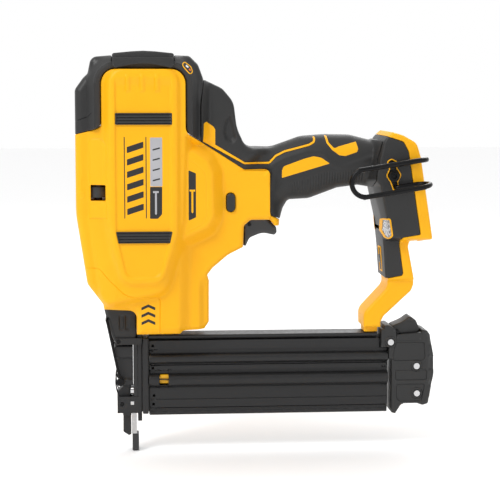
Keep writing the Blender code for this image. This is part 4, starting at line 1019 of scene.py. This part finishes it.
lock_plate = [
    (36.6, 297.2, 1.5), (37.9, 299, 1.2), (42.4, 295.4, 1.4), (43.6, 291.9, 1.4), (42, 290.5, 1.2),
    (37.6, 295.4, 1.2),
]
foil("lock_ring", wider(lock_plate, 0.7), yellow_nylon, 0.12, [lock_plate], cap_half)
foil("lock_field", wider(lock_plate, -0.1), black_print, 0.1, surface=cap_half)
lock_body = [(38.6, 296.2, 0.3), (40.4, 294.6, 0.3), (41.1, 295.6, 0.3), (39.3, 297.2, 0.3)]
foil("lock_body", lock_body, white_print, 0.2, surface=cap_half)
lock_open = [(40.9, 293.6, 0.3), (42.2, 292.3, 0.3), (42.7, 293.2, 0.3), (41.5, 294.6, 0.3)]
foil("lock_open", lock_open, orange_print, 0.2, surface=cap_half)


# ------------------------------------------------------------------ vents
# Black nylon grilles snapped into the head's sides, each a frame with slats that slope down and out.
VENT_SLATS = 2.15


def vent(low, slant):
    high = low + 8.6
    corners = [(-13.6 + slant, low, 0.6), (-13.6, high, 0.6), (28.3, high, 0.6), (28.3 - slant, low, 0.6)]
    edges = [low + 1.1 + VENT_SLATS * k for k in range(4)]
    lines = [(np.array([(-20, z), (35, z)]), False, (-0.1, 0.1)) for z in edges]

    def half(points):
        phase = np.mod((points[:, 1] - low - 1.1) / VENT_SLATS, 1)
        within = step(inside(points, corners) - 0.8, 0.3)
        return 41.1 - 0.9 * within * phase

    return relief(corners, half, 34.2, spacing=0.8, rim=0.3, creases=lines, closed_back=True)


for name, low, slant in (("upper_vent", 253.0, 0), ("lower_vent", 165.0, 1.8)):
    pair(name, vent(low, slant), black_nylon, name)


# ------------------------------------------------------------------ trigger
# A glossy black nylon lever with a finger hollow, on a steel pin through the head.
TRIGGER = [
    (83.4, 159.6, 1), (85.4, 159, 1), (88.2, 165.4, 5), (98, 169.4, 12), (107.5, 167.4, 2),
    (109.3, 169.5, 1.5), (109, 173.5, 3), (101, 181.5, 3), (88, 183, 5), (83.4, 178, 3),
]
TRIGGER_HOLLOW = [(86, 160, 2), (89.5, 166.6, 5), (98, 170.8, 12), (107, 169, 2), (107, 160, 0), (92, 150, 0)]


def trigger_half(points):
    return 9.1 - 0.5 * step(inside(points, TRIGGER_HOLLOW), 2)


glossy_nylon = moulded(
    "glossy_nylon", (0.016, 0.016, 0.0158), (0.014, 0.014, 0.014), (0.03, 0.03, 0.03),
    roughness=0.24, size=1500.0, depth=0.000008, coat=0.4,
)
trigger = whole(TRIGGER, trigger_half, rim=1.6, spacing=0.8)
piece("trigger", trigger, glossy_nylon, body="trigger", replaces=["trigger"])


# ------------------------------------------------------------------ latch lever, wire bail and nose door
# The jam-clearing latch: a black nylon pad with two gripping ribs throws a spring-wire bail that hooks the
# cast door shut. A thin leaf spring beside the door holds it open once it is freed.
LATCH = [
    (-23.7, 112.5, 0.8), (-22.2, 113.2, 0.8), (-17, 109.4, 3), (-4.8, 106.8, 4), (-1.7, 104.2, 3),
    (-1.7, 84.9, 1.5), (-13, 83.9, 3), (-16.6, 87.5, 2), (-20.4, 99, 4),
]
LATCH_CHEEK = [
    (-23.6, 113.2, 0.8), (-22.4, 113.5, 0.8), (-4, 112.6, 2), (0.9, 112.4, 1), (0.9, 95, 3),
    (-0.4, 84.6, 1.5), (-13, 83.9, 3), (-16.6, 87.5, 2), (-20.4, 99, 4),
]
DOOR = [
    (-1.8, 82.8, 1), (-16.5, 82.8, 1.5), (-12.4, 60, 4), (-9.7, 50.5, 1), (-14.1, 46.6, 1), (-14.1, 39, 2),
    (-10.5, 34.6, 3), (-6.9, 36, 2), (-3.5, 44, 0.5), (-3.5, 52, 1), (-1.8, 54, 1),
]
DOOR_WING = [(-1.8, 82.8, 1), (-16.4, 82.8, 1.5), (-12.4, 60, 4), (-10.6, 52.2, 1), (-1.8, 52.2, 1)]
BAIL_PIVOT = (-21.5, 104.0)
BAIL_HOOK = (-11.5, 55.5)
BAIL_OUT = 14.2


def latch_half(points):
    x, z = points[:, 0], points[:, 1]
    half = 12.4 + 0 * x
    for rib in (-10.4, -5.8):
        half = half - 0.8 * (1 - step(np.abs(x - rib) - 1.3, 0.6)) * step(z - 95, 1.5) * step(107.5 - z, 1.5)
    return half - 1.6 * step(-17.5 - x - 0.3 * (z - 100), 3)


def wing_half(points):
    """The door's side plates, sunk between their two ends."""
    z = points[:, 1]
    return 10.8 - 2.2 * step(74 - z, 1.2) * step(z - 56, 2)


black_casting = bright_metal(
    "black_casting", (0.028, 0.028, 0.029), (0.016, 0.016, 0.016), roughness=0.46, brushed=420.0,
    metallic=0.35,
)
bright_steel = bright_metal(
    "bright_steel", (0.70, 0.70, 0.70), (0.52, 0.52, 0.53), roughness=0.28,
)
cheek = relief(LATCH_CHEEK, latch_half, 9.7, rim=0.9, spacing=0.8, closed_back=True)
latch = joined(whole(LATCH, 11.4, rim=1.5, spacing=0.8), both(cheek))
piece("latch_lever", latch, black_nylon, body="latch_lever", replaces=["latch_lever"])
hx, hz = BAIL_HOOK
px, pz = BAIL_PIVOT
near = [
    (hx, -BAIL_OUT, hz), (px + (hx - px) * 0.08, -BAIL_OUT, pz + (hz - pz) * 0.08),
    (px - 0.1, -BAIL_OUT + 0.4, pz - 0.4), (px, -BAIL_OUT + 1.4, pz),
]
wire = swept(near + [(x, -y, z) for x, y, z in reversed(near)], 1.05)
eye = [(0.01, 13.0), (2.7, 13.0), (3.05, 13.3), (3.05, 15.0), (2.8, 15.3), (1.3, 15.3), (1.1, 15.0),
       (0.01, 15.0)]
bail = joined(wire, both(lathe(eye, (hx, 0, hz))))
piece("wire_bail", bail, blackened_steel, body="wire_bail", replaces=["wire_bail"])
door = whole(DOOR, 6.2, rim=0.7, spacing=1.0)
wings = whole(DOOR_WING, wing_half, rim=0.8, spacing=1.0)
boss = [(0.01, 12.2), (2.0, 12.2), (2.2, 12.0), (2.2, 9.0)]
door = joined(door, wings, both(lathe(boss, (hx + 0.6, 0, hz + 1))))
piece("nose_door", door, black_casting, body="nose_door", replaces=["nose_door"])
leaf = [(-14.2, 61.8), (-14.9, 58.5), (-15.1, 55), (-14.7, 51), (-13.9, 47.6), (-13.2, 46)]
leaf = smooth_path([(x, 0, z) for x, z in leaf], 4)
for k, y in enumerate((-11.9, 11.9)):
    piece("leaf_spring_%d" % k, swept(leaf + (0, y, 0), 0.5, 8), blackened_steel)


# ------------------------------------------------------------------ nose gaskets and guide studs
# Thin black liners fill the joints between the nose plates and the magazine, and two square steel studs
# on each side guide the contact trip.
STUDS_Z = (37.0, 46.2)
joints = [relief(plate(x, x + 0.26, 31.5, 88), 10.6, rim=0, spacing=4) for x in (5.22, 10.02)]
joints.append(relief(plate(-1.5, 1.5, 43, 84.4), 9.9, 9.3, rim=0, spacing=3, closed_back=True))
piece("nose_liners", both(*joints), black_nylon)
studs = [relief(plate(-3.9, -1.2, z, z + 2.8, radius=0.3), 11.5, 9.4, rim=0.3, closed_back=True)
         for z in STUDS_Z]
piece("guide_studs", both(*studs), bright_steel)


# ------------------------------------------------------------------ magazine
# A rail and a cover of black anodised aluminium. The cover is one long pressing with two rounded tubes, a
# flat flange above them and a ribbed strip between, and slides on the rail with its end cap.
COVER_Z = (
    28.0, 28.5, 30.7, 30.9, 32.2, 32.4, 33.5, 33.7, 34.3, 40.3, 40.5, 40.9, 41.1, 49.9, 50.1, 50.5, 51.0,
    51.7, 52.8, 54.4, 57.5, 59.0, 60.0, 60.4, 60.6, 63.3, 63.5, 67.0, 67.2, 68.2, 68.5, 69.2, 70.4, 72.6,
    74.4, 75.4, 76.0, 76.2, 79.4, 79.6, 86.4, 86.9,
)
COVER_Y = (
    7.8, 8.6, 8.6, 8.2, 8.2, 8.6, 8.6, 8.2, 9.6, 9.6, 9.2, 9.2, 9.6, 9.6, 9.1, 9.1, 10.6, 12.0, 13.2, 13.7,
    13.7, 13.2, 12.0, 10.8, 8.3, 8.3, 9.8, 9.8, 8.3, 8.3, 10.4, 11.8, 12.8, 13.2, 12.8, 12.0, 10.8, 8.4, 8.4,
    9.6, 9.6, 9.0,
)
COVER = [(10.4, 28, 1.5), (196, 28, 0), (196, 78.8, 0), (189.8, 78.8, 0), (189.8, 86.9, 0.4),
         (10.4, 86.9, 0.6)]
PUSHER_WINDOW = [(18.3, 52.0, 1), (25.4, 52.0, 1), (25.4, 60.6, 1), (18.3, 60.6, 1)]
HOLE_REACH = 0.9
SMALL_HOLES = [(13.4, 82.6), (13.4, 65.2), (14.2, 43.6), (13.8, 37.0)]
END_CAP = [
    (196.4, 79.4, 0), (190.3, 79.4, 0.5), (190.3, 93.7, 0.6), (192.5, 93.7, 0.3), (192.8, 96.5, 1),
    (197, 96.9, 2), (202, 93.5, 2), (203, 86, 2), (221, 86, 1), (222.4, 93.5, 1), (226.5, 92.3, 2.5),
    (229, 89, 2), (232.1, 72, 10), (232.3, 58, 10), (228, 34.9, 2), (223.5, 33.5, 2), (219, 35.1, 4),
    (207, 35.1, 5), (202, 27.1, 1.2), (198.8, 28.1, 1), (198.6, 70, 0), (196.4, 70, 0),
]
CAP_PANELS = [
    [(199.2, 68.8, 2), (225.4, 68.8, 3), (224.4, 83.6, 2), (201.4, 83.6, 2)],
    [(201.6, 53.4, 1.5), (226.6, 53.4, 1.5), (226.8, 61.6, 1.5), (201.6, 61.6, 1.5)],
    [(204.8, 36.6, 3), (222.6, 36.6, 2), (225.4, 50.6, 2), (202.4, 50.6, 2), (202.4, 40, 2)],
]
CAP_SCREWS = [(197.9, 83.6), (218.4, 64.6), (218.8, 43.0)]


def cover_half(points):
    return np.interp(points[:, 1], COVER_Z, COVER_Y)


def end_cap_half(points):
    x, z = points[:, 0], points[:, 1]
    half = 13.5 - 2.2 * step(x - 226.6, 4)
    for corners in CAP_PANELS:
        half = half - 0.7 * step(inside(points, corners), 0.5)
    for bump_z in (76, 57, 44):
        half = half + 0.9 * (1 - step(np.abs(z - bump_z) - 4, 1.2)) * step(x - 227.4, 1)
    for sx, sz in CAP_SCREWS:
        gap = np.hypot(x - sx, z - sz)
        half = half + 0.6 * (1 - step(gap - 4.2, 0.5)) - 0.9 * (1 - step(gap - 3.0, 0.2))
    return half


anodised = bright_metal(
    "black_anodised", (0.027, 0.027, 0.028), (0.017, 0.017, 0.017), roughness=0.40, brushed=260.0,
    metallic=0.45,
)
cover_lines = [(np.array([(5, z), (200, z)]), False, (0,)) for z in COVER_Z[1:-1]]
small = [plate(x - HOLE_REACH, x + HOLE_REACH, z - HOLE_REACH, z + HOLE_REACH, radius=0.2)
         for x, z in SMALL_HOLES]
side = relief(COVER, cover_half, spacing=2.2, rim=0.3, creases=cover_lines, holes=[PUSHER_WINDOW] + small)
cover = both(side)
piece("magazine_cover", cover, anodised, "magazine", 25, replaces=["magazine_cover"])
window_bar = relief(plate(18, 25.7, 56.1, 56.9), 11, 9.9, rim=0.1, closed_back=True)
piece("window_bar", both(window_bar), anodised, body="magazine")
cap_lines = [(rounded(corners), True, (0, 0.5)) for corners in CAP_PANELS]
cap_lines += [(circle(x, z, radius), True, (0,)) for x, z in CAP_SCREWS for radius in (3.0, 3.25, 4.2, 4.7)]
end_cap = whole(END_CAP, end_cap_half, rim=1.3, spacing=1.0, creases=cap_lines)
cheek = [(202.4, 85.2, 0), (221.8, 85.2, 0), (222.6, 91, 0), (203, 89.4, 0)]
end_cap = joined(end_cap, both(relief(cheek, 13.2, 9.7, rim=0.4, spacing=2, closed_back=True)))
piece("magazine_end_cap", end_cap, black_nylon, "magazine", replaces=["magazine_end_cap"])
LATCH_TAIL = [
    (199.6, 95.7, 1.5), (208, 99.1, 20), (213.6, 103.2, 1.5), (218.4, 99.9, 4), (221.5, 92.5, 1.5),
    (220, 89.9, 1), (207, 88.7, 2), (200.9, 90.3, 1.5),
]


def tail_half(points):
    x, z = points[:, 0], points[:, 1]
    grip_ribs = step(z - 99.0, 1) * (0.5 + 0.5 * np.cos((x - 0.6 * z) * 2 * math.pi / 1.8))
    return 9.0 - 0.5 * grip_ribs


tail = whole(LATCH_TAIL, tail_half, rim=1.2, spacing=0.6)
piece("magazine_latch", tail, black_nylon, "magazine_latch", replaces=["magazine_latch"])


# ------------------------------------------------------------------ every other part
# The nose castings, pins, springs, rail, screws, motor, carriage and boards keep the frame's own shape and
# take the finish of their material: cast, ground, blackened, anodised, moulded, wound or potted.
CAST_GRAIN = surface_grain("cast_grain", 1, 4.0)


def coloured(name, colour, dark, roughness, metallic=0.0, size=160.0):
    """A part with an even, grainy skin: cast, dipped or potted."""
    made, tree, shader = new_material(name)
    grain = grain_of(tree, CAST_GRAIN, size)
    tree.links.new(mixed(tree, grain, dark, colour), shader.inputs["Base Color"])
    rough = reading(tree, grain, 0.3, 0.7, roughness - 0.05, roughness + 0.08)
    tree.links.new(rough, shader.inputs["Roughness"])
    shader.inputs["Metallic"].default_value = metallic
    return made


def wound(name):
    """Enamelled copper wire: fine turns seen as rings round the stator."""
    made, tree, shader = new_material(name)
    place = node(tree, "ShaderNodeTexCoord")
    turns = node(tree, "ShaderNodeTexWave", Scale=420.0, Distortion=0.6, bands_direction="Y")
    tree.links.new(place.outputs["Object"], turns.inputs["Vector"])
    copper = mixed(tree, turns.outputs["Fac"], (0.20, 0.07, 0.02), (0.62, 0.27, 0.10))
    tree.links.new(copper, shader.inputs["Base Color"])
    shader.inputs["Metallic"].default_value = 0.9
    shader.inputs["Roughness"].default_value = 0.35
    return made


BLACKENED_FROM = 0.043


def trip_finish(name):
    """Steel left bright where it slides in the nose and blackened above."""
    made, tree, shader = new_material(name)
    place = node(tree, "ShaderNodeTexCoord")
    parts = node(tree, "ShaderNodeSeparateXYZ")
    tree.links.new(place.outputs["Object"], parts.inputs[0])
    above = reading(tree, parts.outputs["Z"], BLACKENED_FROM - 0.0005, BLACKENED_FROM + 0.0005)
    bright = mixed(tree, grain_of(tree, CAST_GRAIN, 500.0), (0.45, 0.45, 0.45), (0.68, 0.68, 0.68))
    tree.links.new(mixed(tree, above, bright, (0.02, 0.02, 0.021)), shader.inputs["Base Color"])
    shader.inputs["Metallic"].default_value = 1.0
    shader.inputs["Roughness"].default_value = 0.4
    return made


trip_steel = trip_finish("trip_steel")
cast_aluminium = coloured(
    "cast_aluminium", (0.60, 0.61, 0.62), (0.46, 0.47, 0.48), roughness=0.5, metallic=0.9, size=320.0,
)
copper_windings = wound("copper_windings")
indicator = coloured(
    "yellow_indicator", (0.86, 0.45, 0.004), (0.80, 0.40, 0.003), roughness=0.45,
)
potted = coloured(
    "potted_circuit", (0.03, 0.11, 0.05), (0.015, 0.05, 0.03), roughness=0.4, metallic=0.0, size=90.0,
)
FINISHES = (
    (black_rubber, ("driver_bumper", "no_mar_pad")),
    (black_nylon, (
        "lock_off_pin", "depth_wheel", "mode_selector", "trigger_switch", "battery_terminal_block",
    )),
    (black_casting, ("nose_frame", "magazine_plate")),
    (anodised, ("magazine_rail",)),
    (bright_steel, (
        "driver", "flywheel", "motor_shaft", "bearing_left", "bearing_right", "return_rod_left",
        "return_rod_right", "return_spring_left", "return_spring_right", "solenoid", "pinch_arm",
        "pinch_roller", "trip_spring", "pusher_spring", "end_cap_screw_upper", "end_cap_screw_middle",
        "end_cap_screw_lower",
    )),
    (blackened_steel, ("door_pin", "latch_pin", "magazine_latch_pin", "trigger_pin")),
    (trip_steel, ("contact_trip",)),
    (cast_aluminium, ("drive_frame",)),
    (copper_windings, ("motor_stator",)),
    (indicator, ("pusher",)),
    (potted, ("control_board",)),
)
for material, names in FINISHES:
    for name in names:
        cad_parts[name].data.materials.clear()
        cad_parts[name].data.materials.append(material)


# ------------------------------------------------------------------ studio
# A pale floor below the tip, a wide soft light over the left shoulder, a weaker fill from the right, and
# a white surround. The camera looks at the left side from slightly above and in front.
AIM = Vector((0.0893, 0, 0.1551))
CAMERA_AT = Vector((-0.0043, -1.1897, 0.2806))
LENS = 111.5
FLOOR_REACH = 6.0
FLOOR_GAP = 0.0004

floor_paint, tree, shader = new_material("floor_paint")
noise = node(tree, "ShaderNodeTexNoise", Scale=3.0, Detail=2.0)
pale = mixed(tree, noise.outputs["Fac"], (0.985 * 0.97,) * 3, (0.97,) * 3)
tree.links.new(pale, shader.inputs["Base Color"])
shader.inputs["Roughness"].default_value = 0.9
mesh = bpy.data.meshes.new("floor")
mesh.from_pydata(
    [(x * FLOOR_REACH, y * FLOOR_REACH, 0) for x, y in ((-1, -1), (1, -1), (1, 1), (-1, 1))],
    [], [(0, 1, 2, 3)],
)
mesh.materials.append(floor_paint)
floor = bpy.data.objects.new("floor", mesh)
floor.location.z = -FLOOR_GAP
bpy.context.scene.collection.objects.link(floor)


def soft_light(name, place, size, power):
    lamp = bpy.data.lights.new(name, "AREA")
    lamp.shape = "DISK"
    lamp.size = size
    lamp.energy = power
    obj = bpy.data.objects.new(name, lamp)
    obj.location = place
    obj.rotation_euler = (AIM - Vector(place)).to_track_quat("-Z", "Y").to_euler()
    bpy.context.scene.collection.objects.link(obj)


bpy.context.scene.view_settings.view_transform = "Standard"
soft_light("key", (-1.3, -1.3, 1.7), 0.8, 26)
soft_light("fill", (1.6, -1.6, 0.5), 1.2, 4)
soft_light("rim", (0.6, 1.4, 1.2), 1.0, 10)

world = bpy.data.worlds.new("surround")
bpy.context.scene.world = world
world.use_nodes = True
tree = world.node_tree
way = node(tree, "ShaderNodeTexCoord")
parts = node(tree, "ShaderNodeSeparateXYZ")
tree.links.new(way.outputs["Generated"], parts.inputs[0])
backdrop = reading(tree, parts.outputs["Y"], -0.2, 0.5)
tint = mixed(tree, backdrop, (0.42, 0.42, 0.43), (1.0, 1.0, 1.0))
overhead = reading(tree, parts.outputs["Z"], 0.25, 0.8)
tint = mixed(tree, overhead, tint, (1.12, 1.12, 1.12))
tree.links.new(tint, tree.nodes["Background"].inputs["Color"])
tree.nodes["Background"].inputs["Strength"].default_value = 1.0

lens = bpy.data.cameras.new("camera")
lens.lens = LENS
camera = bpy.data.objects.new("camera", lens)
camera.location = CAMERA_AT
camera.rotation_euler = (AIM - CAMERA_AT).to_track_quat("-Z", "Y").to_euler()
bpy.context.scene.collection.objects.link(camera)
bpy.context.scene.camera = camera
